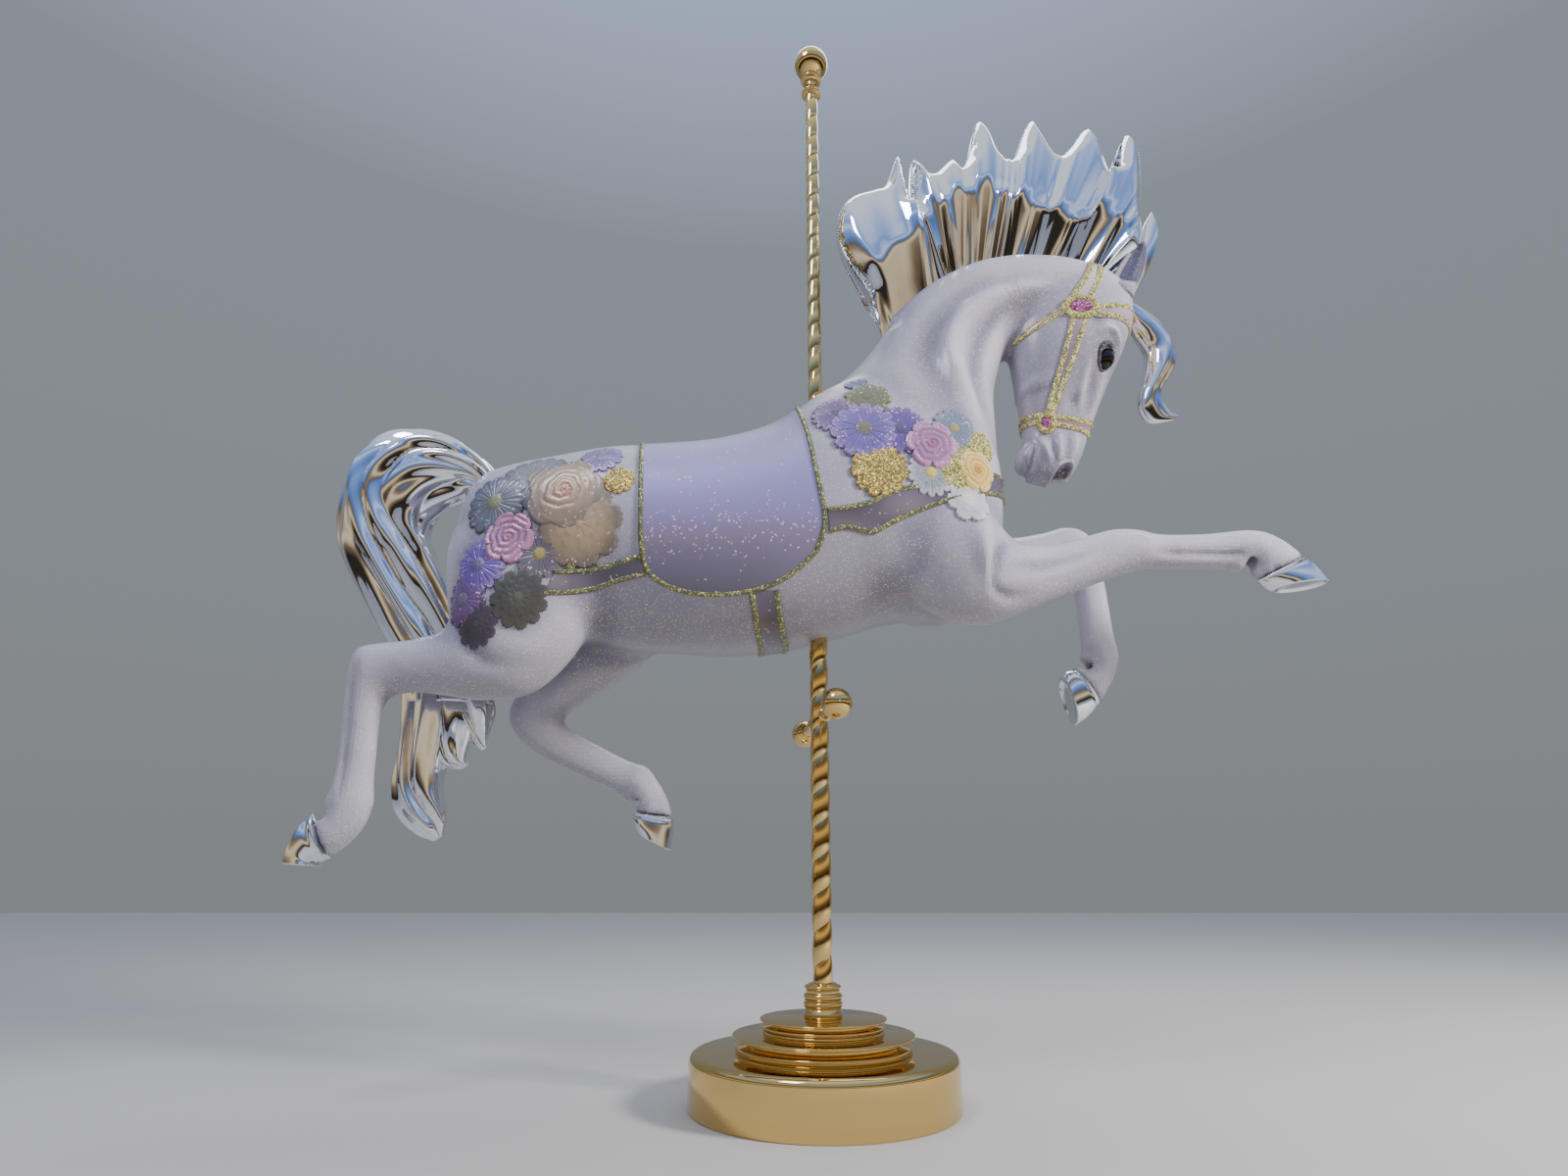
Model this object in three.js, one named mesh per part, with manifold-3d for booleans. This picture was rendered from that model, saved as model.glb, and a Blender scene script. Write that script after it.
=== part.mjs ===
// A carousel horse in full leap on its twisted brass pole, with the stepped round stand that carries it.
// Millimetres. +X is the way the horse runs, +Z is up, and the origin is the centre of the stand's underside,
// which is also the axis of the pole.
import * as THREE from "three";
import { mergeVertices } from "three/addons/utils/BufferGeometryUtils.js";
import Module from "manifold-3d";

const wasm = await Module();
wasm.setup();

// Horse
const HORSE_LENGTH = 2040; // from the toe of the near hind hoof to the toe of the near fore hoof
const BELLY_HEIGHT = 852; // underside of the belly at the pole, above the floor
const TABLE_LENGTH = 2040; // the station tables below are shares of the horse's length, in 2040ths
const TABLE_BELLY = 852; // and their heights are counted from this share, which is the belly at the pole

// Gaps
const GAP = 0.3; // between pieces that touch

// Pole
const POLE_RADIUS = 19;
const POLE_UPPER_RADIUS = 16;
const POLE_JOINT_RISE = 298; // above the belly, where the two lengths of pole meet inside the horse
const POLE_TOP = 2336;
const POLE_COVER = 60; // how far the twist runs on inside the horse
const POLE_LAP = 1; // how far the plain core of a pole runs into its twisted length
const SADDLE_HEIGHT = 1430; // share at which the pole comes out of the withers
const TWIST_PITCH = 63;
const TWIST_DEPTH = 4; // how far the groove of the twist is sunk
const TWIST_CREST = 0.45; // where the ridge is highest, as a share of the pitch
const TWIST_SIDES = 6;

// Stand
const DRUM_RADIUS = 243;
const DRUM_HEIGHT = 89;
const DRUM_ROUNDING = 9;
const MIDDLE_RADIUS = 166;
const MIDDLE_HEIGHT = 28;
const TOP_RADIUS = 116;
const TOP_HEIGHT = 26;
const STEP_COVE = 22; // how far the foot of each step is drawn in under its rim
const STEP_RIM = 10; // height of a step's rim
const COLLAR_RADIUS = 36;
const COLLAR_WAIST = 29;
const COLLAR_RINGS = 4;
const COLLAR_HEIGHT = 58;
const ROUND_SIDES = 24;

// Finial
const FINIAL_BALL_RADIUS = 44;
const FINIAL_RING_RADIUS = 27;
const FINIAL_NECK_RADIUS = 14;
const FINIAL_CUP_RADIUS = 26;
const FINIAL_STEM = 64; // from the top of the pole to the underside of the ball
const FINIAL_CUP_RISE = 9; // from the top of the pole to the widest place of the cup
const FINIAL_CUP_HEIGHT = 19;
const FINIAL_RING_DROP = 10; // from the ring's widest place up to the ball
const FINIAL_RING_HEIGHT = 19;

// Foot pegs
const PEG_DROP = 164; // below the belly
const PEG_REACH = 179; // from the pole's axis to the middle of a ball
const PEG_RADIUS = 11;
const PEG_BALL_RADIUS = 29;
const PEG_YAW = 8; // degrees that the pegs are turned out of square

// Trappings
const PAD_THICKNESS = 5;
const STRAP_THICKNESS = 4;
const BRIDLE_THICKNESS = 4;
const ROSETTE_THICKNESS = 10;
const ROSETTE_CROWN = 5; // how far the middle of a rosette stands above its rim
const FLOWER_LOW = 6; // how far the flowers of the lower layer stand out
const FLOWER_HIGH = 11; // and those of the upper layer
const FLOWER_HEART = 5; // and how far the heart of each stands above its petals
const PETAL_NOTCH = 0.78; // radius between two petals, as a share of the flower's
const BOSS_ROOT = 12; // how deep a flower or rosette is drawn into the body before its room is cut away
const PROBE = 60; // how far out the look at the skin starts

// Eyes
const EYE_RADIUS = 17;
const EYE_OPENING = 1.18; // height of the eye over its width

// Locks of the tail, side by side across its breadth
const TAIL_LOCKS = 3;
const TAIL_LAP = 0.07; // how far each reaches over the next, as a share of the breadth

// Sides of the round forms
const BODY_SIDES = 12;
const HEAD_SIDES = 10;
const LIMB_SIDES = 8;
const LOCK_SIDES = 6;
const SMALL_SIDES = 8;
const TURNED_SIDES = 10;
const BALL_RINGS = 5;
const HALF_SPAN = 400; // the cutting prisms reach this far to each side of the middle plane

const U = HORSE_LENGTH / TABLE_LENGTH; // the real length of one share

// A table's position as a real one.
const X = (x) => x * U;
const Z = (z) => BELLY_HEIGHT + (z - TABLE_BELLY) * U;

// Closed skin over a row of rings that all have as many points. Each end is closed by a fan to its middle,
// or to the point given for it.
function skin(rings, middles = []) {
  const sides = rings[0].length;
  const points = rings.flat();
  const index = [];
  for (let r = 0; r < rings.length - 1; r++) {
    for (let s = 0; s < sides; s++) {
      const a = r * sides + s;
      const b = r * sides + ((s + 1) % sides);
      index.push(a, b, a + sides, b, b + sides, a + sides);
    }
  }
  for (const [ring, start, flip, middle] of [
    [rings[0], 0, true, middles[0]],
    [rings.at(-1), (rings.length - 1) * sides, false, middles[1]],
  ]) {
    const m = points.push(middle ?? middleOf(ring)) - 1;
    for (let s = 0; s < sides; s++) {
      const a = start + s;
      const b = start + ((s + 1) % sides);
      index.push(...(flip ? [b, a, m] : [a, b, m]));
    }
  }
  return solidOf(new THREE.BufferGeometry().setFromPoints(points).setIndex(index));
}

// A closed three.js geometry as a solid for cutting and joining, turned to face outwards.
function solidOf(geometry) {
  const bare = geometry.clone();
  bare.deleteAttribute("normal");
  bare.deleteAttribute("uv");
  const merged = mergeVertices(bare, 1e-4);
  const vertProperties = new Float32Array(merged.attributes.position.array);
  const triVerts = new Uint32Array(merged.index.array);
  let volume = 0;
  const corner = (i) => new THREE.Vector3().fromArray(vertProperties, 3 * triVerts[i]);
  for (let i = 0; i < triVerts.length; i += 3) {
    volume += corner(i).dot(corner(i + 1).cross(corner(i + 2)));
  }
  if (volume < 0) {
    for (let i = 0; i < triVerts.length; i += 3) {
      [triVerts[i + 1], triVerts[i + 2]] = [triVerts[i + 2], triVerts[i + 1]];
    }
  }
  return new wasm.Manifold(new wasm.Mesh({ numProp: 3, vertProperties, triVerts }));
}

// A solid as a geometry for a mesh.
function geometryOf(solid) {
  const { vertProperties, triVerts } = solid.getMesh();
  return new THREE.BufferGeometry()
    .setAttribute("position", new THREE.BufferAttribute(vertProperties, 3))
    .setIndex(new THREE.BufferAttribute(triVerts, 1));
}

// One row of a table at the place t, from 0 to rows - 1, on a smooth curve through the rows.
function rowAt(rows, t) {
  const i = Math.min(Math.floor(t), rows.length - 2);
  const f = t - i;
  const at = (k) => rows[THREE.MathUtils.clamp(k, 0, rows.length - 1)];
  const [p, a, b, n] = [at(i - 1), at(i), at(i + 1), at(i + 2)];
  return a.map((_, k) => {
    const slopeA = (b[k] - p[k]) / 2;
    const slopeB = (n[k] - a[k]) / 2;
    const h = f * f * (3 - 2 * f);
    return a[k] * (1 - h) + b[k] * h + f * (1 - f) * ((1 - f) * slopeA - f * slopeB);
  });
}

// A form of flesh or hair as a row of ribs. A rib is [x, z of one edge, x, z of the other edge, y of its
// middle, half width, fullness, lean]: fullness 2 is an ellipse and more is squarer, and lean moves the
// widest place towards the first edge. grow stands the skin off by so many millimetres.
function form(ribs, { sides = LIMB_SIDES, steps = 1, grow = 0, mirror = false } = {}) {
  const count = (ribs.length - 1) * steps;
  const rings = [];
  for (let i = 0; i <= count; i++) {
    const rib = rowAt(ribs, (i * (ribs.length - 1)) / count);
    rings.push(ribRing(rib, sides, grow, mirror));
  }
  if (grow > 0) {
    for (const [end, next] of [[0, 1], [count, count - 1]]) {
      const out = middleOf(rings[end]).sub(middleOf(rings[next])).setLength(grow);
      rings[end].forEach((p) => p.add(out));
    }
  }
  return skin(rings);
}

function middleOf(ring) {
  const middle = new THREE.Vector3();
  ring.forEach((p) => middle.addScaledVector(p, 1 / ring.length));
  return middle;
}

function ribRing([x1, z1, x2, z2, y, halfWidth, fullness, lean], sides, grow, mirror) {
  const half = new THREE.Vector3((x1 - x2) / 2, 0, (z1 - z2) / 2).multiplyScalar(U);
  half.setLength(half.length() + grow);
  const wide = halfWidth * U + grow;
  const ring = [];
  for (let s = 0; s < sides; s++) {
    const angle = (2 * Math.PI * s) / sides;
    const c = Math.cos(angle);
    const n = Math.sin(angle);
    const reach = (Math.abs(c) ** fullness + Math.abs(n) ** fullness) ** (-1 / fullness);
    const point = new THREE.Vector3(X((x1 + x2) / 2), y * U, Z((z1 + z2) / 2));
    point.addScaledVector(half, c * reach);
    point.y += wide * n * reach * (1 + lean * c);
    if (mirror) {
      point.y = -point.y;
    }
    ring.push(point);
  }
  return ring;
}

// The stretch of a rib between two shares of its breadth.
function partOfRib([x1, z1, x2, z2, ...rest], from, to) {
  const { lerp } = THREE.MathUtils;
  return [lerp(x1, x2, from), lerp(z1, z2, from), lerp(x1, x2, to), lerp(z1, z2, to), ...rest];
}

// The horse's body from rump to chest: the first edge is the back and the second the belly.
const TRUNK = [
  [-748, 1170, -772, 1040, 0, 55, 2.0, 0.0],
  [-715, 1222, -752, 950, 0, 118, 2.1, 0.05],
  [-650, 1240, -690, 885, 0, 158, 2.2, 0.05],
  [-550, 1262, -560, 850, 0, 180, 2.2, 0.0],
  [-440, 1282, -430, 838, 0, 188, 2.2, 0.0],
  [-330, 1289, -320, 834, 0, 191, 2.2, -0.05],
  [-205, 1304, -200, 828, 0, 195, 2.2, -0.08],
  [-90, 1345, -75, 838, 0, 197, 2.2, -0.12],
  [10, 1424, 50, 868, 0, 194, 2.2, -0.15],
  [80, 1462, 140, 896, 0, 188, 2.2, -0.18],
  [150, 1480, 235, 902, 0, 180, 2.2, -0.18],
  [225, 1470, 310, 900, 0, 170, 2.2, -0.12],
  [300, 1430, 355, 950, 0, 150, 2.2, -0.05],
  [355, 1370, 388, 1040, 0, 118, 2.1, 0.0],
  [392, 1290, 400, 1150, 0, 62, 2.0, 0.0],
];

// The arched neck: the first edge is the crest and the second the throat.
const NECK = [
  [-60, 1350, 300, 960, 0, 140, 2.1, -0.1],
  [10, 1420, 375, 1120, 0, 150, 2.1, -0.15],
  [75, 1480, 398, 1230, 0, 142, 2.1, -0.2],
  [125, 1540, 402, 1340, 0, 122, 2.1, -0.25],
  [172, 1612, 406, 1425, 0, 103, 2.1, -0.25],
  [225, 1690, 424, 1495, 0, 90, 2.1, -0.25],
  [295, 1750, 446, 1555, 0, 81, 2.1, -0.25],
  [380, 1795, 474, 1600, 0, 75, 2.1, -0.2],
  [465, 1818, 515, 1615, 0, 71, 2.1, -0.2],
  [550, 1820, 565, 1615, 0, 68, 2.1, -0.15],
  [630, 1808, 625, 1620, 0, 64, 2.1, -0.1],
  [690, 1780, 670, 1630, 0, 52, 2.0, 0.0],
];

// The head, from the poll down to the lips: the first edge is the face and the second the jaw.
const HEAD = [
  [668, 1800, 590, 1720, 0, 42, 2.0, 0.0],
  [728, 1758, 510, 1668, 0, 64, 2.2, 0.0],
  [755, 1700, 466, 1610, 0, 80, 2.3, 0.08],
  [752, 1648, 457, 1560, 0, 88, 2.4, 0.12],
  [738, 1598, 458, 1508, 0, 91, 2.4, 0.14],
  [714, 1540, 463, 1458, 0, 84, 2.5, 0.1],
  [680, 1474, 466, 1410, 0, 67, 2.5, 0.0],
  [632, 1366, 468, 1330, 0, 48, 2.3, -0.12],
  [612, 1318, 462, 1302, 0, 48, 2.2, -0.08],
  [594, 1276, 447, 1282, 0, 52, 2.2, 0.02],
  [574, 1240, 446, 1256, 0, 49, 2.2, 0.08],
  [550, 1216, 470, 1224, 0, 34, 2.0, 0.0],
];

// The right ear, from its root to its tip.
const EAR = [
  [744, 1672, 696, 1692, -46, 17, 2.0, 0.0],
  [762, 1708, 704, 1728, -50, 21, 2.0, 0.0],
  [778, 1748, 724, 1766, -53, 18, 2.0, 0.0],
  [788, 1790, 752, 1802, -54, 11, 2.0, 0.0],
  [791, 1822, 784, 1825, -54, 3, 2.0, 0.0],
];

// The right hind leg, stretched out behind: the first edge is its front and the second its rear.
const RIGHT_HIND = [
  [-440, 1130, -690, 1160, -70, 70, 2.0, 0.0],
  [-420, 1010, -752, 1060, -88, 84, 2.1, 0.0],
  [-440, 900, -752, 965, -98, 88, 2.1, 0.0],
  [-482, 800, -738, 895, -104, 84, 2.1, 0.0],
  [-560, 722, -728, 852, -106, 72, 2.1, 0.0],
  [-655, 708, -765, 836, -106, 58, 2.1, 0.0],
  [-730, 718, -815, 825, -105, 48, 2.2, 0.0],
  [-790, 723, -868, 821, -104, 41, 2.2, 0.0],
  [-835, 712, -910, 808, -103, 37, 2.3, 0.0],
  [-845, 672, -917, 752, -102, 33, 2.3, 0.0],
  [-841, 568, -912, 600, -100, 27, 2.3, 0.0],
  [-835, 520, -916, 530, -99, 31, 2.2, 0.0],
  [-845, 476, -920, 500, -98, 31, 2.2, 0.0],
  [-872, 440, -929, 498, -98, 30, 2.2, 0.0],
  [-902, 418, -938, 500, -98, 32, 2.2, 0.0],
];

// The left hind leg, drawn in under the belly.
const LEFT_HIND = [
  [-400, 1130, -650, 1160, 70, 70, 2.0, 0.0],
  [-340, 1020, -690, 1050, 88, 84, 2.1, 0.0],
  [-318, 930, -680, 960, 98, 88, 2.1, 0.0],
  [-345, 872, -650, 890, 102, 82, 2.1, 0.0],
  [-400, 815, -620, 838, 103, 66, 2.1, 0.0],
  [-455, 772, -632, 795, 102, 52, 2.2, 0.0],
  [-510, 735, -650, 758, 101, 43, 2.2, 0.0],
  [-550, 714, -664, 715, 100, 38, 2.3, 0.0],
  [-540, 697, -635, 664, 100, 34, 2.3, 0.0],
  [-505, 674, -575, 622, 99, 29, 2.3, 0.0],
  [-400, 620, -438, 560, 97, 28, 2.3, 0.0],
  [-362, 610, -402, 542, 96, 31, 2.2, 0.0],
  [-333, 575, -385, 532, 96, 30, 2.2, 0.0],
  [-312, 540, -382, 526, 96, 30, 2.2, 0.0],
  [-299, 500, -383, 512, 96, 32, 2.2, 0.0],
];

// The right fore leg, thrown forward: the first edge is its upper side and the second its lower side.
const RIGHT_FORE = [
  [150, 1320, 130, 960, -95, 60, 2.0, 0.0],
  [260, 1230, 190, 905, -98, 82, 2.1, 0.0],
  [345, 1110, 262, 868, -100, 82, 2.1, 0.0],
  [392, 1040, 330, 860, -100, 70, 2.1, 0.0],
  [448, 1026, 405, 884, -98, 58, 2.2, 0.0],
  [505, 1036, 490, 919, -96, 48, 2.2, 0.0],
  [560, 1053, 555, 946, -95, 42, 2.3, 0.0],
  [608, 1065, 612, 966, -95, 41, 2.3, 0.0],
  [655, 1063, 660, 977, -95, 39, 2.3, 0.0],
  [700, 1054, 703, 979, -94, 32, 2.3, 0.0],
  [805, 1058, 806, 978, -93, 27, 2.3, 0.0],
  [850, 1063, 847, 977, -93, 30, 2.2, 0.0],
  [886, 1066, 872, 986, -93, 31, 2.2, 0.0],
  [925, 1058, 890, 985, -93, 30, 2.2, 0.0],
  [962, 1038, 903, 966, -93, 30, 2.2, 0.0],
  [992, 1007, 917, 955, -93, 32, 2.2, 0.0],
];

// The left fore leg, raised with its knee bent.
const LEFT_FORE = [
  [150, 1330, 150, 960, 95, 60, 2.0, 0.0],
  [262, 1270, 210, 915, 98, 82, 2.1, 0.0],
  [350, 1170, 285, 915, 99, 80, 2.1, 0.0],
  [405, 1122, 365, 960, 98, 66, 2.1, 0.0],
  [465, 1122, 440, 1000, 96, 54, 2.2, 0.0],
  [525, 1134, 505, 1030, 95, 45, 2.2, 0.0],
  [578, 1148, 548, 1048, 95, 41, 2.3, 0.0],
  [624, 1128, 566, 1038, 95, 40, 2.3, 0.0],
  [645, 1075, 577, 1020, 95, 38, 2.3, 0.0],
  [648, 1015, 579, 985, 94, 31, 2.3, 0.0],
  [655, 890, 579, 880, 93, 28, 2.3, 0.0],
  [660, 845, 580, 843, 93, 31, 2.2, 0.0],
  [648, 802, 583, 828, 93, 30, 2.2, 0.0],
  [627, 767, 572, 818, 93, 30, 2.2, 0.0],
  [604, 738, 556, 812, 93, 32, 2.2, 0.0],
];

// Each hoof, from its coronet to its sole: the first edge is the toe's side and the second the heel's.
const HOOVES = {
  hoof_hind_right: [
    [-938, 500, -902, 418, -98, 32, 2.2, 0.0],
    [-962, 478, -915, 412, -98, 35, 2.2, 0.0],
    [-975, 443, -922, 408, -98, 37, 2.2, 0.0],
    [-980, 410, -917, 406, -98, 38, 2.2, 0.0],
  ],
  hoof_hind_left: [
    [-299, 500, -383, 512, 96, 32, 2.2, 0.0],
    [-299, 480, -383, 500, 96, 34, 2.2, 0.0],
    [-301, 460, -378, 486, 96, 36, 2.2, 0.0],
    [-303, 438, -366, 468, 96, 37, 2.2, 0.0],
  ],
  hoof_fore_right: [
    [992, 1007, 917, 955, -93, 32, 2.2, 0.0],
    [1006, 992, 917, 948, -93, 36, 2.2, 0.0],
    [1018, 974, 917, 942, -93, 39, 2.2, 0.0],
    [1030, 955, 920, 936, -93, 41, 2.2, 0.0],
  ],
  hoof_fore_left: [
    [604, 738, 556, 812, 93, 32, 2.2, 0.0],
    [590, 722, 545, 812, 93, 36, 2.2, 0.0],
    [572, 706, 536, 808, 93, 39, 2.2, 0.0],
    [552, 694, 528, 798, 93, 41, 2.2, 0.0],
  ],
};

// The mane's locks, from the crest to their tips: the first edge is the front one. The locks flare out to
// both sides up to their shoulder and thin out again to the tip.
const MANE_LOCKS = [
  [
    [225, 1690, 165, 1610, 0, 30, 2.0, 0.0],
    [262, 1765, 118, 1720, 0, 46, 2.0, 0.0],
    [288, 1850, 72, 1818, 0, 62, 2.0, 0.0],
    [285, 1925, 56, 1905, 0, 66, 2.0, 0.0],
    [250, 1985, 92, 1985, 0, 54, 2.0, 0.0],
    [237, 2048, 184, 2038, 0, 26, 2.0, 0.0],
    [228, 2120, 224, 2119, 0, 4, 2.0, 0.0],
  ],
  [
    [330, 1770, 245, 1715, 0, 34, 2.0, 0.0],
    [345, 1860, 238, 1830, 0, 56, 2.0, 0.0],
    [342, 1945, 240, 1935, 0, 62, 2.0, 0.0],
    [320, 2010, 243, 2005, 0, 40, 2.0, 0.0],
    [290, 2062, 248, 2060, 0, 18, 2.0, 0.0],
    [264, 2109, 259, 2107, 0, 4, 2.0, 0.0],
  ],
  [
    [400, 1805, 300, 1755, 0, 36, 2.0, 0.0],
    [415, 1880, 300, 1850, 0, 60, 2.0, 0.0],
    [412, 1960, 298, 1945, 0, 64, 2.0, 0.0],
    [398, 2020, 305, 2010, 0, 42, 2.0, 0.0],
    [380, 2066, 325, 2056, 0, 20, 2.0, 0.0],
    [362, 2106, 355, 2104, 0, 5, 2.0, 0.0],
  ],
  [
    [485, 1822, 370, 1795, 0, 38, 2.0, 0.0],
    [498, 1895, 375, 1880, 0, 64, 2.0, 0.0],
    [500, 1985, 372, 1975, 0, 70, 2.0, 0.0],
    [492, 2070, 384, 2062, 0, 52, 2.0, 0.0],
    [459, 2165, 400, 2156, 5, 26, 2.0, 0.0],
    [418, 2226, 410, 2224, 14, 4, 2.0, 0.0],
  ],
  [
    [580, 1818, 455, 1822, 0, 38, 2.0, 0.0],
    [600, 1895, 465, 1895, 0, 64, 2.0, 0.0],
    [625, 1985, 470, 1985, 0, 70, 2.0, 0.0],
    [618, 2070, 482, 2065, 0, 52, 2.0, 0.0],
    [590, 2162, 527, 2152, 0, 26, 2.0, 0.0],
    [563, 2230, 556, 2228, 0, 4, 2.0, 0.0],
  ],
  [
    [660, 1790, 555, 1825, 0, 38, 2.0, 0.0],
    [702, 1880, 572, 1900, 0, 62, 2.0, 0.0],
    [738, 1975, 590, 1985, 0, 68, 2.0, 0.0],
    [745, 2060, 605, 2062, 0, 50, 2.0, 0.0],
    [730, 2140, 652, 2132, 0, 25, 2.0, 0.0],
    [698, 2202, 690, 2200, 0, 4, 2.0, 0.0],
  ],
  [
    [715, 1755, 635, 1800, 0, 36, 2.0, 0.0],
    [762, 1845, 672, 1880, 0, 54, 2.0, 0.0],
    [808, 1935, 712, 1965, 0, 58, 2.0, 0.0],
    [830, 2020, 745, 2040, 0, 42, 2.0, 0.0],
    [829, 2118, 777, 2120, 0, 21, 2.0, 0.0],
    [800, 2182, 792, 2180, 0, 4, 2.0, 0.0],
  ],
  [
    [758, 1700, 690, 1745, 0, 26, 2.0, 0.0],
    [802, 1765, 748, 1800, 0, 26, 2.0, 0.0],
    [838, 1840, 796, 1860, 0, 21, 2.0, 0.0],
    [854, 1905, 818, 1915, 0, 13, 2.0, 0.0],
    [848, 1957, 842, 1956, 0, 4, 2.0, 0.0],
  ],
];

// The forelock, curling out over the face: the first edge is the outer one.
const FORELOCK = [
  [748, 1690, 738, 1640, 0, 30, 2.0, 0.0],
  [790, 1662, 752, 1600, 0, 32, 2.0, 0.0],
  [828, 1628, 764, 1572, 0, 32, 2.0, 0.0],
  [850, 1578, 770, 1545, 0, 31, 2.0, 0.0],
  [848, 1528, 762, 1508, 0, 30, 2.0, 0.0],
  [824, 1484, 750, 1470, 0, 28, 2.0, 0.0],
  [802, 1450, 738, 1432, 0, 26, 2.0, 0.0],
  [802, 1420, 736, 1392, 0, 22, 2.0, 0.0],
  [816, 1396, 758, 1364, 0, 12, 2.0, 0.0],
  [830, 1386, 812, 1372, 0, 4, 2.0, 0.0],
];

// The tail, arching up and back: the first edge is the outer one. After the hock it parts into three tips.
const TAIL = [
  [-690, 1215, -712, 1150, 0, 34, 2.0, 0.0],
  [-742, 1275, -752, 1186, 0, 44, 2.0, 0.0],
  [-818, 1328, -778, 1176, 0, 58, 2.0, 0.0],
  [-900, 1349, -808, 1160, 0, 66, 2.0, 0.0],
  [-972, 1336, -830, 1138, 0, 70, 2.0, 0.0],
  [-1030, 1282, -842, 1112, 0, 72, 2.0, 0.0],
  [-1060, 1205, -838, 1084, 4, 72, 2.0, 0.0],
  [-1057, 1120, -820, 1055, 8, 70, 2.0, 0.0],
  [-1028, 1040, -800, 1010, 12, 66, 2.0, 0.0],
  [-938, 896, -748, 908, 18, 53, 2.0, 0.0],
  [-875, 806, -702, 806, 20, 46, 2.0, 0.0],
  [-858, 725, -672, 725, 18, 46, 2.0, 0.0],
];
const TAIL_TIPS = [
  [
    [-868, 790, -740, 790, 20, 42, 2.0, 0.0],
    [-858, 700, -748, 690, 18, 42, 2.0, 0.0],
    [-858, 620, -750, 610, 14, 40, 2.0, 0.0],
    [-856, 555, -745, 556, 10, 36, 2.0, 0.0],
    [-838, 505, -732, 520, 6, 30, 2.0, 0.0],
    [-795, 468, -730, 492, 2, 20, 2.0, 0.0],
    [-752, 452, -736, 464, 0, 6, 2.0, 0.0],
  ],
  [
    [-800, 790, -700, 790, 20, 42, 2.0, 0.0],
    [-790, 700, -700, 700, 20, 40, 2.0, 0.0],
    [-782, 640, -712, 640, 20, 30, 2.0, 0.0],
    [-760, 598, -716, 612, 20, 18, 2.0, 0.0],
    [-722, 592, -708, 602, 20, 5, 2.0, 0.0],
  ],
  [
    [-770, 790, -690, 780, 20, 40, 2.0, 0.0],
    [-752, 720, -668, 720, 22, 36, 2.0, 0.0],
    [-730, 672, -668, 680, 22, 24, 2.0, 0.0],
    [-702, 640, -676, 652, 22, 12, 2.0, 0.0],
    [-684, 630, -676, 636, 22, 4, 2.0, 0.0],
  ],
];

// Where the eyes and the nostrils lie: x, distance from the middle plane, z.
const EYE = [652, 60, 1499];
const NOSTRIL = [545, 36, 1229];
const NOSTRIL_SIZE = [13, 10, 9];

// Outlines of the trappings, seen from the side.
const PAD_OUTLINE = [
  [-388, 1460], [-384, 1290], [-369, 1237], [-356, 1086], [-350, 985], [-334, 945], [-301, 922], [-238, 908],
  [-175, 906], [-112, 917], [-62, 938], [-24, 966], [1, 1004], [9, 1047], [-4, 1131], [-21, 1239],
  [-38, 1330], [-46, 1460],
];
const CRUPPER_STRAP = [
  [-350, 984], [-415, 967], [-560, 950], [-560, 888], [-489, 898], [-416, 917], [-338, 935],
];
const HIP_STRAP = [[-480, 950], [-486, 1040]];
const HIP_STRAP_WIDTH = 14;
const BREAST_STRAP = [
  [4, 1077], [75, 1085], [158, 1121], [240, 1155], [420, 1200],
  [420, 1146], [195, 1061], [97, 1017], [4, 1017],
];
const GIRTH = [[-145, 916], [-126, 800], [-54, 800], [-76, 926]];
const CHEEK_STRAP = [[607, 1614], [515, 1350]];
const CHEEK_STRAP_WIDTH = 27;
const CROWN_STRAP = [[598, 1612], [690, 1830]];
const CROWN_STRAP_WIDTH = 32;
const BROW_BAND = [[604, 1618], [790, 1608]];
const BROW_BAND_WIDTH = 32;
const NOSE_BAND = [[440, 1356], [650, 1342]];
const NOSE_BAND_WIDTH = 30;
const THROAT_LATCH = [[606, 1619], [450, 1562]];
const THROAT_LATCH_WIDTH = 28;
const BROW_ROSETTE = [606, 1618, 29];
const NOSE_ROSETTE = [512, 1343, 20];

// The flowers of the chest and of the rump: x, z, radius, petals, and whether they lie in the upper layer.
// The side that turns away from the watchers has only the first few of each garland.
const CHEST_FLOWERS = [
  [91, 1250, 62, 6, true], [168, 1262, 48, 5, false], [228, 1222, 52, 5, true],
  [122, 1157, 54, 6, false], [304, 1182, 54, 5, true], [228, 1148, 44, 5, false],
  [300, 1254, 44, 5, false], [58, 1318, 54, 6, false],
];
const RUMP_FLOWERS = [
  [-506, 1113, 72, 6, true], [-478, 1030, 66, 6, false], [-545, 973, 56, 5, false],
  [-575, 893, 58, 5, true], [-612, 1018, 56, 5, true], [-664, 955, 58, 5, false],
  [-645, 1092, 56, 5, false], [-424, 1164, 46, 5, false],
];
const LEFT_FLOWERS = 4;

const union = (solids) => solids.reduce((all, s) => all.add(s));

// The trunk, the roots of the legs and the neck, where the saddle, the straps and the flowers lie.
function bodySkin(grow) {
  return union([
    form(TRUNK, { sides: BODY_SIDES, grow }),
    form(NECK, { sides: BODY_SIDES, grow }),
    ...[RIGHT_HIND, LEFT_HIND, RIGHT_FORE, LEFT_FORE].map((leg) => form(leg.slice(0, 6), { grow })),
  ]);
}

// The head and neck, where the bridle lies.
function headSkin(grow) {
  return form(HEAD, { sides: HEAD_SIDES, grow }).add(form(NECK, { sides: BODY_SIDES, grow }));
}

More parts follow.
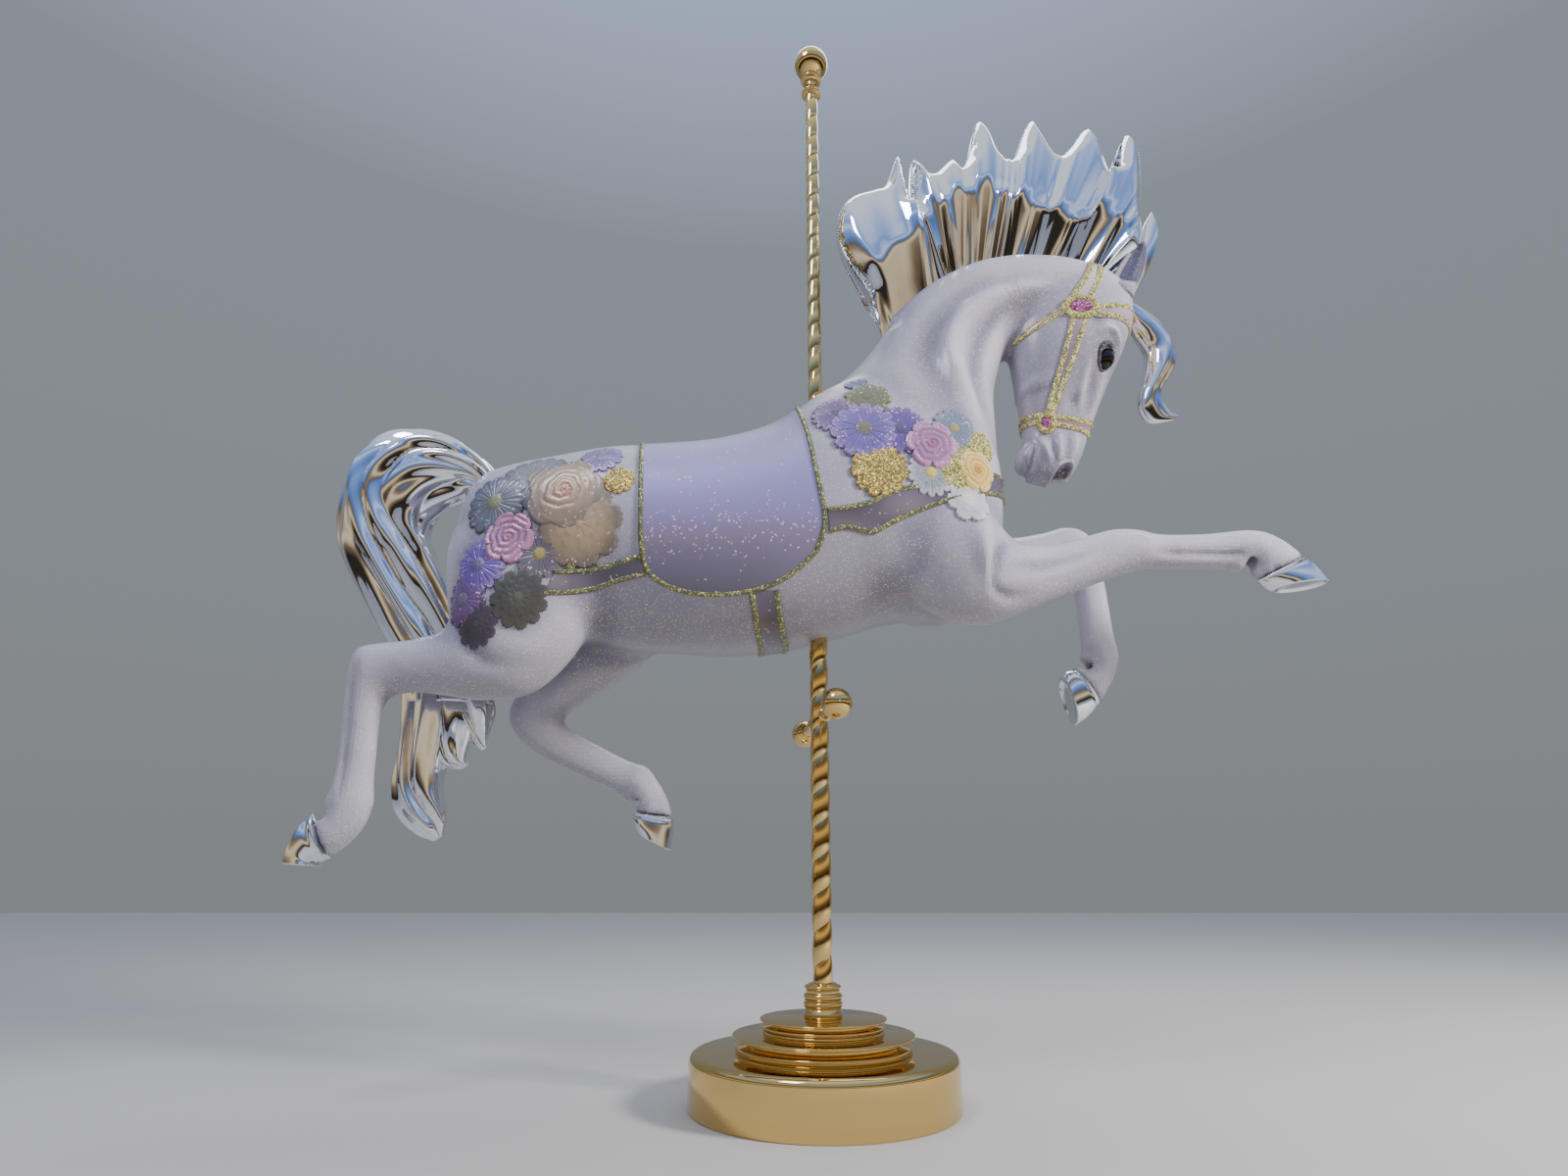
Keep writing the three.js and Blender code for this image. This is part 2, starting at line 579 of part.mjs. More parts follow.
// The body, neck, legs, head and ears as one carved piece, stood off by grow.
function horseSkin(grow = 0) {
  return union([
    form(TRUNK, { sides: BODY_SIDES, grow }),
    form(NECK, { sides: BODY_SIDES, grow }),
    form(HEAD, { sides: HEAD_SIDES, grow }),
    form(EAR, { sides: LOCK_SIDES, grow }),
    form(EAR, { sides: LOCK_SIDES, grow, mirror: true }),
    ...[RIGHT_HIND, LEFT_HIND, RIGHT_FORE, LEFT_FORE].map((leg) => form(leg, { grow })),
  ]);
}

// A side outline in the tables' shares, cut straight through from y = from to y = to.
function sidePrism(outline, from = -HALF_SPAN, to = HALF_SPAN) {
  const shape = new THREE.Shape(outline.map(([x, z]) => new THREE.Vector2(X(x), Z(z))));
  const geometry = new THREE.ExtrudeGeometry(shape, { depth: to - from, bevelEnabled: false });
  return solidOf(geometry.rotateX(Math.PI / 2).translate(0, to, 0));
}

// The same prism with a gap round its edge, to cut a neighbour clear of it.
function roomyPrism(outline) {
  return sidePrism(outline).add(sidePrism(strip(outline, 2 * GAP)));
}

// The outline of a strip of the given width along a row of side points.
function strip(route, width) {
  const sides = [[], []];
  route.forEach(([x, z], i) => {
    const [x0, z0] = route[Math.max(i - 1, 0)];
    const [x1, z1] = route[Math.min(i + 1, route.length - 1)];
    const length = Math.hypot(x1 - x0, z1 - z0);
    const across = [(-(z1 - z0) / length) * (width / 2), ((x1 - x0) / length) * (width / 2)];
    sides[0].push([x + across[0], z + across[1]]);
    sides[1].unshift([x - across[0], z - across[1]]);
  });
  return sides.flat();
}

// A boss that lies on the horse at the side point [x, z]: a wavy disc with a raised heart, whose rim and
// middle are found by looking straight in at the skin, so it follows the curve of the body. A boss with no
// petals is round.
function boss([x, z, radius, petals], { side, rise, peak }) {
  const middle = onSkin(new THREE.Vector3(X(x), side * HALF_SPAN, Z(z)), new THREE.Vector3(0, -side, 0));
  const out = middle.normal;
  const right = new THREE.Vector3(out.z, 0, -out.x).normalize();
  const up = new THREE.Vector3().crossVectors(out, right);
  const count = petals ? 2 * petals : SMALL_SIDES + 2;
  const foot = [];
  const rim = [];
  for (let i = 0; i < count; i++) {
    const angle = (2 * Math.PI * i) / count;
    const reach = (petals && i % 2 ? PETAL_NOTCH : 1) * radius * U;
    const from = middle.point.clone().addScaledVector(out, PROBE);
    from.addScaledVector(right, reach * Math.cos(angle)).addScaledVector(up, reach * Math.sin(angle));
    const { point } = onSkin(from, out.clone().negate());
    foot.push(point.clone().addScaledVector(out, -BOSS_ROOT));
    rim.push(point.clone().addScaledVector(out, rise));
  }
  return skin([foot, rim], [null, middle.point.clone().addScaledVector(out, rise + peak)]);
}

// Where a straight look meets the horse's skin, and which way the skin faces there.
function onSkin(from, direction) {
  const [hit] = new THREE.Raycaster(from, direction).intersectObject(skinMesh);
  if (!hit) {
    return { point: from.clone().addScaledVector(direction, PROBE), normal: direction.clone().negate() };
  }
  return { point: hit.point, normal: hit.face.normal.clone() };
}

// A solid of revolution about the pole's axis, from a profile of [radius, height] that starts and ends on it.
function turned(profile, sides = ROUND_SIDES) {
  const points = profile.map(([r, z]) => new THREE.Vector2(r, z));
  return solidOf(new THREE.LatheGeometry(points, sides).rotateX(Math.PI / 2));
}

function cylinder(radius, from, to, sides = ROUND_SIDES) {
  return turned([[0, from], [radius, from], [radius, to], [0, to]], sides);
}

// The room that a round of the given radius needs, with flat sides that all clear it.
function roundRoom(radius, from, to) {
  return cylinder((radius + GAP) / Math.cos(Math.PI / SMALL_SIDES), from, to, SMALL_SIDES);
}

// A length of twisted pole. Its skin is a ridge that climbs one pitch for each turn, with a sharp groove
// below it, so the rows of its mesh are helices that run on from one turn into the next.
function twistedPole(radius, from, to) {
  const profile = [[0, -TWIST_DEPTH], [TWIST_CREST, 0]];
  const turns = Math.ceil((to - from) / TWIST_PITCH) + 3;
  const start = from - 2 * TWIST_PITCH;
  const rows = turns * profile.length;
  const points = [];
  for (let row = 0; row <= rows; row++) {
    const [phase, depth] = profile[row % profile.length];
    for (let s = 0; s < TWIST_SIDES; s++) {
      const angle = (2 * Math.PI * s) / TWIST_SIDES;
      const z = start + TWIST_PITCH * (Math.floor(row / profile.length) + phase + s / TWIST_SIDES);
      const reach = radius + depth;
      points.push(new THREE.Vector3(reach * Math.cos(angle), reach * Math.sin(angle), z));
    }
  }
  const at = (row, s) => (s < TWIST_SIDES ? row * TWIST_SIDES + s : (row + profile.length) * TWIST_SIDES);
  const index = [];
  const last = rows - profile.length;
  for (let row = 0; row < last; row++) {
    for (let s = 0; s < TWIST_SIDES; s++) {
      index.push(at(row, s), at(row, s + 1), at(row + 1, s));
      index.push(at(row, s + 1), at(row + 1, s + 1), at(row + 1, s));
    }
  }
  const foot = points.push(new THREE.Vector3(0, 0, start)) - 1;
  const head = points.push(new THREE.Vector3(0, 0, start + TWIST_PITCH * (turns - 1))) - 1;
  const rim = (row) => {
    const ring = [];
    for (let s = 0; s <= TWIST_SIDES; s++) {
      ring.push(at(row, s));
    }
    for (let r = profile.length - 1; r > 0; r--) {
      ring.push(at(row + r, 0));
    }
    return ring;
  };
  rim(0).forEach((p, i, ring) => index.push(foot, ring[(i + 1) % ring.length], p));
  rim(last).forEach((p, i, ring) => index.push(head, p, ring[(i + 1) % ring.length]));
  const long = solidOf(new THREE.BufferGeometry().setFromPoints(points).setIndex(index));
  return long.intersect(cylinder(2 * radius, from, to, SMALL_SIDES));
}

const part = new THREE.Group();
function add(name, solid, material) {
  const mesh = new THREE.Mesh(geometryOf(solid), material);
  mesh.name = name;
  part.add(mesh);
}

function finish(color, roughness, metalness) {
  return new THREE.MeshStandardMaterial({ color, roughness, metalness });
}
const paint = finish(0xcfc8d6, 0.35, 0);
const chrome = finish(0xd9dce2, 0.05, 1);
const brass = finish(0xd9b45a, 0.15, 1);
const lilac = finish(0xa79ac9, 0.3, 0.3);
const mauve = finish(0x9a8fa6, 0.35, 0.3);
const glitter = finish(0xb5a860, 0.4, 0.6);
const jewel = finish(0xc77fa8, 0.3, 0.2);
const petal = finish(0xb3a0c4, 0.4, 0.2);
const glass = finish(0x0a0a0c, 0.05, 0);

// The horse, bored for the pole and opened for the eyes and nostrils
const eyeBall = (grow, side) => solidOf(
  new THREE.SphereGeometry(EYE_RADIUS + grow, SMALL_SIDES, BALL_RINGS)
    .scale(1, 1, EYE_OPENING)
    .translate(X(EYE[0]), side * EYE[1] * U, Z(EYE[2])),
);
const nostril = (side) => solidOf(
  new THREE.SphereGeometry(1, SMALL_SIDES, BALL_RINGS)
    .scale(...NOSTRIL_SIZE)
    .translate(X(NOSTRIL[0]), side * NOSTRIL[1] * U, Z(NOSTRIL[2])),
);
const poleJoint = BELLY_HEIGHT + POLE_JOINT_RISE;
const bore = roundRoom(POLE_RADIUS, 0, poleJoint).add(roundRoom(POLE_UPPER_RADIUS, poleJoint, POLE_TOP));
const clearOfHorse = horseSkin(GAP).add(bore);
const wholeHorse = horseSkin();
const skinMesh = new THREE.Mesh(geometryOf(wholeHorse), paint);
const SIDES = { right: [-HALF_SPAN, 0, -1], left: [0, HALF_SPAN, 1] };
const faces = union([-1, 1].flatMap((side) => [eyeBall(GAP, side), nostril(side)]));
add("horse", wholeHorse.subtract(bore).subtract(faces), paint);
for (const [name, [, , side]] of Object.entries(SIDES)) {
  add("eye_" + name, eyeBall(0, side), glass);
}
for (const [name, ribs] of Object.entries(HOOVES)) {
  add(name, form(ribs).subtract(clearOfHorse), chrome);
}

// The saddle pad
const padPrism = sidePrism(PAD_OUTLINE);
const padRoom = roomyPrism(PAD_OUTLINE);
add("saddle_pad", bodySkin(PAD_THICKNESS).subtract(clearOfHorse).intersect(padPrism), lilac);

// The straps, each cut from the skin by its outline seen from the side
const strapLayer = bodySkin(STRAP_THICKNESS).subtract(clearOfHorse).subtract(padRoom);
const hipStrap = strip(HIP_STRAP, HIP_STRAP_WIDTH);
for (const [name, [from, to]] of Object.entries(SIDES)) {
  const outline = sidePrism(CRUPPER_STRAP, from, to).add(sidePrism(hipStrap, from, to));
  add("crupper_strap_" + name, strapLayer.intersect(outline), mauve);
}
add("breast_strap", strapLayer.intersect(sidePrism(BREAST_STRAP)), mauve);
add("girth", strapLayer.intersect(sidePrism(GIRTH)), mauve);

// The flowers, laid over the ends of the straps
const strapRoom = bodySkin(STRAP_THICKNESS + GAP).intersect(
  union([CRUPPER_STRAP, hipStrap, BREAST_STRAP].map((outline) => roomyPrism(outline))),
);
const flowerRoom = clearOfHorse.add(strapRoom).add(padRoom);
for (const [place, flowers] of [["chest", CHEST_FLOWERS], ["rump", RUMP_FLOWERS]]) {
  for (const [name, [, , side]] of Object.entries(SIDES)) {
    const heads = flowers.slice(0, side < 0 ? flowers.length : LEFT_FLOWERS).map((flower) => (
      boss(flower, { side, rise: flower[4] ? FLOWER_HIGH : FLOWER_LOW, peak: FLOWER_HEART })
    ));
    add(place + "_flowers_" + name, union(heads).subtract(flowerRoom), petal);
  }
}

// The bridle, with its rosettes laid over the places where its straps meet
const bridleStraps = [
  [CROWN_STRAP, CROWN_STRAP_WIDTH], [CHEEK_STRAP, CHEEK_STRAP_WIDTH], [BROW_BAND, BROW_BAND_WIDTH],
  [NOSE_BAND, NOSE_BAND_WIDTH], [THROAT_LATCH, THROAT_LATCH_WIDTH],
];
const bridlePrisms = (grow) => (
  union(bridleStraps.map(([route, width]) => sidePrism(strip(route, width + 2 * grow))))
);
const bridleRoom = headSkin(BRIDLE_THICKNESS + GAP).intersect(bridlePrisms(GAP));
const headRoom = clearOfHorse.add(bridleRoom);
add("bridle", headSkin(BRIDLE_THICKNESS).subtract(clearOfHorse).intersect(bridlePrisms(0)), glitter);
for (const [name, [, , side]] of Object.entries(SIDES)) {
  for (const [place, at] of [["brow", BROW_ROSETTE], ["nose", NOSE_ROSETTE]]) {
    const rosette = boss(at, { side, rise: ROSETTE_THICKNESS, peak: ROSETTE_CROWN });
    add("rosette_" + place + "_" + name, rosette.subtract(headRoom), jewel);
  }
}

// The mane, the forelock and the tail
const locks = (tables) => union(tables.map((ribs) => form(ribs, { sides: LOCK_SIDES })));
add("mane", locks(MANE_LOCKS).subtract(headRoom), chrome);
add("forelock", locks([FORELOCK]).subtract(headRoom), chrome);
const tailLocks = [];
for (let i = 0; i < TAIL_LOCKS; i++) {
  const from = Math.max(i / TAIL_LOCKS - TAIL_LAP, 0);
  const to = Math.min((i + 1) / TAIL_LOCKS + TAIL_LAP, 1);
  tailLocks.push(TAIL.map((rib) => partOfRib(rib, from, to)));
}
add("tail", locks([...tailLocks, ...TAIL_TIPS]).subtract(clearOfHorse), chrome);

// The pole: twisted where it shows, and plain inside the horse
const standTop = DRUM_HEIGHT + MIDDLE_HEIGHT + TOP_HEIGHT + COLLAR_HEIGHT;
const bellyIn = BELLY_HEIGHT + POLE_COVER;
const backOut = Z(SADDLE_HEIGHT) - POLE_COVER;
add("pole_lower", twistedPole(POLE_RADIUS, standTop + GAP, bellyIn)
  .add(cylinder(POLE_RADIUS, bellyIn - POLE_LAP, poleJoint - GAP, SMALL_SIDES)), brass);
add("pole_upper", twistedPole(POLE_UPPER_RADIUS, backOut, POLE_TOP)
  .add(cylinder(POLE_UPPER_RADIUS, poleJoint + GAP, backOut + POLE_LAP, SMALL_SIDES)), brass);

// The stand, a drum with two steps and a ringed collar
const middleFoot = DRUM_HEIGHT + GAP;
const topFoot = DRUM_HEIGHT + MIDDLE_HEIGHT + GAP;
const collarFoot = DRUM_HEIGHT + MIDDLE_HEIGHT + TOP_HEIGHT + GAP;
add("base_drum", turned([
  [0, 0], [DRUM_RADIUS, 0], [DRUM_RADIUS, DRUM_HEIGHT - DRUM_ROUNDING],
  [DRUM_RADIUS - DRUM_ROUNDING, DRUM_HEIGHT], [0, DRUM_HEIGHT],
]), brass);
const step = (radius, foot, height) => turned([
  [0, foot], [radius - STEP_COVE, foot], [radius - STEP_COVE, foot + height - STEP_RIM],
  [radius, foot + height - STEP_RIM], [radius, foot + height - GAP], [0, foot + height - GAP],
]);
add("base_step_middle", step(MIDDLE_RADIUS, middleFoot, MIDDLE_HEIGHT), brass);
add("base_step_top", step(TOP_RADIUS, topFoot, TOP_HEIGHT), brass);
const ringHeight = (COLLAR_HEIGHT - GAP) / COLLAR_RINGS;
const collarProfile = [[0, collarFoot]];
for (let i = 0; i < COLLAR_RINGS; i++) {
  collarProfile.push([COLLAR_WAIST, collarFoot + i * ringHeight]);
  collarProfile.push([COLLAR_RADIUS, collarFoot + (i + 1 / 2) * ringHeight]);
}
collarProfile.push([COLLAR_WAIST, standTop], [0, standTop]);
add("base_collar", turned(collarProfile, TURNED_SIDES), brass);

// Half the outline of a ball, from its foot to its head.
function ballProfile(radius, foot) {
  const profile = [];
  for (let i = 1; i <= BALL_RINGS; i++) {
    const angle = Math.PI * (i / (BALL_RINGS + 1));
    profile.push([radius * Math.sin(angle), foot + radius * (1 - Math.cos(angle))]);
  }
  return [...profile, [0, foot + 2 * radius]];
}

// The finial on top of the pole
const finialFoot = POLE_TOP + GAP;
const ballFoot = finialFoot + FINIAL_STEM;
add("finial", turned([
  [0, finialFoot], [FINIAL_NECK_RADIUS, finialFoot], [FINIAL_CUP_RADIUS, finialFoot + FINIAL_CUP_RISE],
  [FINIAL_NECK_RADIUS, finialFoot + FINIAL_CUP_HEIGHT], [FINIAL_NECK_RADIUS, ballFoot - FINIAL_RING_HEIGHT],
  [FINIAL_RING_RADIUS, ballFoot - FINIAL_RING_DROP], [FINIAL_NECK_RADIUS, ballFoot],
  ...ballProfile(FINIAL_BALL_RADIUS, ballFoot),
], TURNED_SIDES), brass);

// The rider's foot pegs, one to each side of the pole
const pegHeight = BELLY_HEIGHT - PEG_DROP;
const pegRoom = roundRoom(POLE_RADIUS, 0, poleJoint);
const pegProfile = [
  [0, 0], [PEG_RADIUS, 0], [PEG_RADIUS, PEG_REACH - PEG_BALL_RADIUS],
  ...ballProfile(PEG_BALL_RADIUS, PEG_REACH - PEG_BALL_RADIUS),
];
for (const [name, [, , side]] of Object.entries(SIDES)) {
  const points = pegProfile.map(([r, d]) => new THREE.Vector2(r, d));
  const yaw = THREE.MathUtils.degToRad(PEG_YAW);
  const peg = new THREE.LatheGeometry(points, SMALL_SIDES).rotateX(side > 0 ? 0 : Math.PI);
  add("foot_peg_" + name, solidOf(peg.rotateZ(yaw).translate(0, 0, pegHeight)).subtract(pegRoom), brass);
}

export default part;
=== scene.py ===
# %% [markdown]
# # A carousel horse in full leap
# The imported CAD model is the frame of this scene: closed solids in real metres, with the stand's underside
# at height zero and the horse running towards +X. It could be shown as it is, but its faces are few. So each
# solid is dressed by a fine surface of the same size in the same place, worked out with numpy.

import bmesh
import bpy
import numpy as np
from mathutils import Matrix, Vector


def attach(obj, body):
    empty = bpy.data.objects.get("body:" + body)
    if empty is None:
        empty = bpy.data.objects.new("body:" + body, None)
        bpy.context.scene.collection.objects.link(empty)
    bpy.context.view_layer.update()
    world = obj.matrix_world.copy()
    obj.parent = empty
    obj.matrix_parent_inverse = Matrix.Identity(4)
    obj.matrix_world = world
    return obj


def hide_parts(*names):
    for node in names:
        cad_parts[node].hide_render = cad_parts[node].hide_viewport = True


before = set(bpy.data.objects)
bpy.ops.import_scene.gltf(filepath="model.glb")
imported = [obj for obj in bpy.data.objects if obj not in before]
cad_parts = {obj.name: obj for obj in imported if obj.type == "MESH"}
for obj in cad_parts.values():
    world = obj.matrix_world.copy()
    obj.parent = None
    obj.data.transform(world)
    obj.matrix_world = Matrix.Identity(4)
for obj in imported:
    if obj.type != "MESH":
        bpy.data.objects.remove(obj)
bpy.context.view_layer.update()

# %% [markdown]
# # The view
# The watcher stands level with the base, less than two metres from the horse, and looks up at it, so the
# tops of the steps are barely seen and the pole narrows upwards. A camera at that place with the same wide
# lens gives the same picture. It is turned up by the angle that the narrowing of the pole gives away.

# %% Camera
VIEW_RISE = 18.518  # degrees that the camera looks up
VIEW_PLACE = (-0.0717, -1.75, 0.3847)
VIEW_LENS = 19.87  # millimetres, on a sensor 36 mm wide

view = bpy.data.cameras.new("view")
view.lens = VIEW_LENS
view.sensor_width = 36.0
watcher = bpy.data.objects.new("view", view)
watcher.location = VIEW_PLACE
watcher.rotation_euler = (np.radians(90 + VIEW_RISE), 0, 0)
bpy.context.scene.collection.objects.link(watcher)
bpy.context.scene.camera = watcher
print("camera", VIEW_LENS, "mm,", VIEW_RISE, "degrees up")

# %% [markdown]
# # From arrays to pieces
# Every surface below is a grid of points: a function of two parameters. These helpers turn such a grid into
# faces, close it, turn it to face outwards, and make the Blender object. The tables are in millimetres, as
# a carver would measure, and Blender works in metres, so the scale is applied in one place, here.

# %% Grids, closed tubes and new pieces
MM = 0.001


def grid_faces(rows, columns, round_rows=False, round_columns=False):
    """Four-cornered faces between neighbours of a grid that is numbered row by row. Its rows or its columns
    may close on themselves."""
    i = np.arange(rows if round_rows else rows - 1)[:, None]
    j = np.arange(columns if round_columns else columns - 1)[None, :]
    here, there = i * columns, (i + 1) % rows * columns
    beside = (j + 1) % columns
    corners = np.broadcast_arrays(here + j, here + beside, there + beside, there + j)
    return np.stack(corners, -1).reshape(-1, 4)


def volume(points, faces):
    """Six times the enclosed volume: the sum of the corner products of all triangles."""
    total = 0.0
    for group in faces:
        for k in range(1, group.shape[1] - 1):
            a, b, c = points[group[:, 0]], points[group[:, k]], points[group[:, k + 1]]
            total += np.einsum("ij,ij->", a, np.cross(b, c))
    return total


def outward(points, faces):
    """The same skin with its faces turned to look outwards."""
    if volume(points, faces) < 0:
        faces = [group[:, ::-1] for group in faces]
    return points, faces


def tube(rings):
    """A closed skin over an array of rings, each end closed by a fan to the middle of its ring."""
    count, around = rings.shape[:2]
    points = np.concatenate((rings.reshape(-1, 3), rings[[0, -1]].mean(1)))
    j = np.arange(around)
    k = (j + 1) % around
    last = (count - 1) * around
    middle = count * around
    fans = np.concatenate((
        np.stack([k, j, np.full(around, middle)], 1),
        np.stack([last + j, last + k, np.full(around, middle + 1)], 1),
    ))
    return outward(points, [grid_faces(count, around, round_columns=True), fans])


def hoop(rings):
    """A closed skin over rings whose last one is followed by the first."""
    count, around = rings.shape[:2]
    return outward(rings.reshape(-1, 3), [grid_faces(count, around, True, True)])


def new_piece(name, skins, materials=()):
    """One object from several closed skins in millimetres. Skin number i takes material number i."""
    points, faces, numbers, start = [], [], [], 0
    for i, (skin_points, groups) in enumerate(skins):
        points.append(skin_points)
        for group in groups:
            faces += (group + start).tolist()
            numbers += [min(i, max(len(materials) - 1, 0))] * len(group)
        start += len(skin_points)
    mesh = bpy.data.meshes.new(name)
    mesh.from_pydata((np.concatenate(points) * MM).tolist(), [], faces)
    for material in materials:
        mesh.materials.append(material)
    mesh.polygons.foreach_set("material_index", numbers)
    mesh.shade_smooth()
    made = bpy.data.objects.new(name, mesh)
    bpy.context.scene.collection.objects.link(made)
    return made


def read(items, name, width, kind=float):
    """One property of all items of a mesh, as an array with a row for each item."""
    flat = np.empty(width * len(items), kind)
    items.foreach_get(name, flat)
    return flat.reshape(-1, width)


def points_of(thing):
    """The points of an object's mesh, in millimetres."""
    return read(thing.data.vertices, "co", 3) / MM


def place_points(thing, points):
    """Moves the mesh's points to the given places, in millimetres."""
    thing.data.vertices.foreach_set("co", (points * MM).ravel())
    thing.data.update()


def settle(thing):
    """Applies the object's modifiers to its mesh."""
    ready = thing.evaluated_get(bpy.context.evaluated_depsgraph_get())
    mesh = bpy.data.meshes.new_from_object(ready)
    thing.modifiers.clear()
    thing.data = mesh


def dress(thing, slot, *nodes):
    """The piece rides on the one body and stands for the named CAD nodes. The slot is not used."""
    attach(thing, "root")
    if nodes:
        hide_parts(*nodes)
    triangles = sum(len(face.vertices) - 2 for face in thing.data.polygons)
    print(thing.name, triangles, "triangles")


print("A closed grid of 3 by 4 points has", len(grid_faces(3, 4, round_columns=True)), "faces")

# %% [markdown]
# # Curves through a few stations
# A carver sets out a body by its stations: how deep and how wide it is at each. Straight lines from one
# station to the next would show as facets, so the values are led through the stations on smooth cubic
# curves. The same rule serves the body, the hair and every route of a strap.

# %% Smooth rows and ribs
ELLIPSE = (2.0, 0.0)  # the fullness and the lean of a plain ellipse


def smooth_rows(table, t):
    """Rows of a table at the places t. Each value follows a cubic whose slope at a row is half the step from
    the row before to the row after."""
    table = np.asarray(table, float)
    t = np.asarray(t, float)
    i = np.clip(np.floor(t).astype(int), 0, len(table) - 2)
    f = (t - i)[..., None]
    before, here, there, after = (table[np.clip(i + k, 0, len(table) - 1)] for k in (-1, 0, 1, 2))
    ease = f * f * (3 - 2 * f)
    bend = f * (1 - f) * ((1 - f) * (there - before) - f * (after - here)) / 2
    return here * (1 - ease) + there * ease + bend


def along(table, count):
    """The given number of rows, evenly over the whole table."""
    return smooth_rows(table, np.linspace(0, len(table) - 1, count))


def bell(away, half):
    """A bell curve: exp(-(away / half) ** 2), which is 1 where away is 0."""
    return np.exp(-((away / half) ** 2))


def held(values):
    """Values held between 0 and 1."""
    return np.clip(values, 0, 1)


def rib_points(ribs, angle):
    """Points round ribs at the given angles. A rib is [x, z of its first edge, x, z of its second edge, y,
    half width, fullness, lean]. A table may leave out the last of them, or both: then its ribs don't lean,
    and are ellipses. A point is the rib's middle, plus cosine times the half breadth, plus sine times the
    half width, both divided by the fullness norm of the two. Lean widens the side of the first edge."""
    left_out = ELLIPSE[ribs.shape[1] - 6:]
    ribs = np.concatenate((ribs, np.tile(left_out, (len(ribs), 1))), 1)
    x1, z1, x2, z2, y, wide, full, lean = np.moveaxis(ribs[:, None, :], 2, 0)
    c, s = np.cos(angle), np.sin(angle)
    reach = (abs(c) ** full + abs(s) ** full) ** (-1 / full)
    return np.stack(np.broadcast_arrays(
        (x1 + x2) / 2 + (x1 - x2) / 2 * c * reach,
        y + wide * s * reach * (1 + lean * c),
        (z1 + z2) / 2 + (z1 - z2) / 2 * c * reach,
    ), -1)


def turn(count):
    """Angles once round, without the last one that would meet the first."""
    return np.linspace(0, 2 * np.pi, count, endpoint=False)


def limb(table, steps=10, around=72):
    """The closed skin of a table of ribs, with so many rings from one rib to the next."""
    ribs = along(table, steps * (len(table) - 1) + 1)
    return tube(rib_points(ribs, turn(around)))


print("A quarter of the way from 0 to 1 the curve stands at", smooth_rows([[0], [1]], 0.25)[0])

# %% [markdown]
# # The horse's stations
# The real horse is carved from glued blocks: a barrel, an arched neck, a head and four legs. Its outline is
# measured as ribs, each from one edge of the form to the other, with its width. These are the CAD model's
# own tables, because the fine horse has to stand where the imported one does. Only the near fore pastern and
# its hoof are set a little further back at the heel. The first edge of the trunk is the back and of the
# head the face.

# %% Stations of the body, the legs and the hooves
TRUNK = [
    [-748, 1170, -772, 1040, 0, 55, 2.0, 0.0], [-715, 1222, -752, 950, 0, 118, 2.1, 0.05],
    [-650, 1240, -690, 885, 0, 158, 2.2, 0.05], [-550, 1262, -560, 850, 0, 180, 2.2, 0.0],
    [-440, 1282, -430, 838, 0, 188, 2.2, 0.0], [-330, 1289, -320, 834, 0, 191, 2.2, -0.05],
    [-205, 1304, -200, 828, 0, 195, 2.2, -0.08], [-90, 1345, -75, 838, 0, 197, 2.2, -0.12],
    [10, 1424, 50, 868, 0, 194, 2.2, -0.15], [80, 1462, 140, 896, 0, 188, 2.2, -0.18],
    [150, 1480, 235, 902, 0, 180, 2.2, -0.18], [225, 1470, 310, 900, 0, 170, 2.2, -0.12],
    [300, 1430, 355, 950, 0, 150, 2.2, -0.05], [355, 1370, 388, 1040, 0, 118, 2.1, 0.0],
    [392, 1290, 400, 1150, 0, 62, 2.0, 0.0],
]
NECK = [
    [-60, 1350, 300, 960, 0, 140, 2.1, -0.1], [10, 1420, 375, 1120, 0, 150, 2.1, -0.15],
    [75, 1480, 398, 1230, 0, 142, 2.1, -0.2], [125, 1540, 402, 1340, 0, 122, 2.1, -0.25],
    [172, 1612, 406, 1425, 0, 103, 2.1, -0.25], [225, 1690, 424, 1495, 0, 90, 2.1, -0.25],
    [295, 1750, 446, 1555, 0, 81, 2.1, -0.25], [380, 1795, 474, 1600, 0, 75, 2.1, -0.2],
    [465, 1818, 515, 1615, 0, 71, 2.1, -0.2], [550, 1820, 565, 1615, 0, 68, 2.1, -0.15],
    [630, 1808, 625, 1620, 0, 64, 2.1, -0.1], [690, 1780, 670, 1630, 0, 52, 2.0, 0.0],
]
HEAD = [
    [668, 1800, 590, 1720, 0, 42, 2.0, 0.0], [728, 1758, 510, 1668, 0, 64, 2.2, 0.0],
    [755, 1700, 466, 1610, 0, 80, 2.3, 0.08], [752, 1648, 457, 1560, 0, 88, 2.4, 0.12],
    [738, 1598, 458, 1508, 0, 91, 2.4, 0.14], [714, 1540, 463, 1458, 0, 84, 2.5, 0.1],
    [680, 1474, 466, 1410, 0, 67, 2.5, 0.0], [632, 1366, 468, 1330, 0, 48, 2.3, -0.12],
    [612, 1318, 462, 1302, 0, 48, 2.2, -0.08], [594, 1276, 447, 1282, 0, 52, 2.2, 0.02],
    [574, 1240, 446, 1256, 0, 49, 2.2, 0.08], [550, 1216, 470, 1224, 0, 34, 2.0, 0.0],
]
EAR = [
    [744, 1672, 696, 1692, -46, 17],
    [762, 1708, 704, 1728, -50, 21],
    [778, 1748, 724, 1766, -53, 18],
    [788, 1790, 752, 1802, -54, 11],
    [791, 1822, 784, 1825, -54, 3],
]
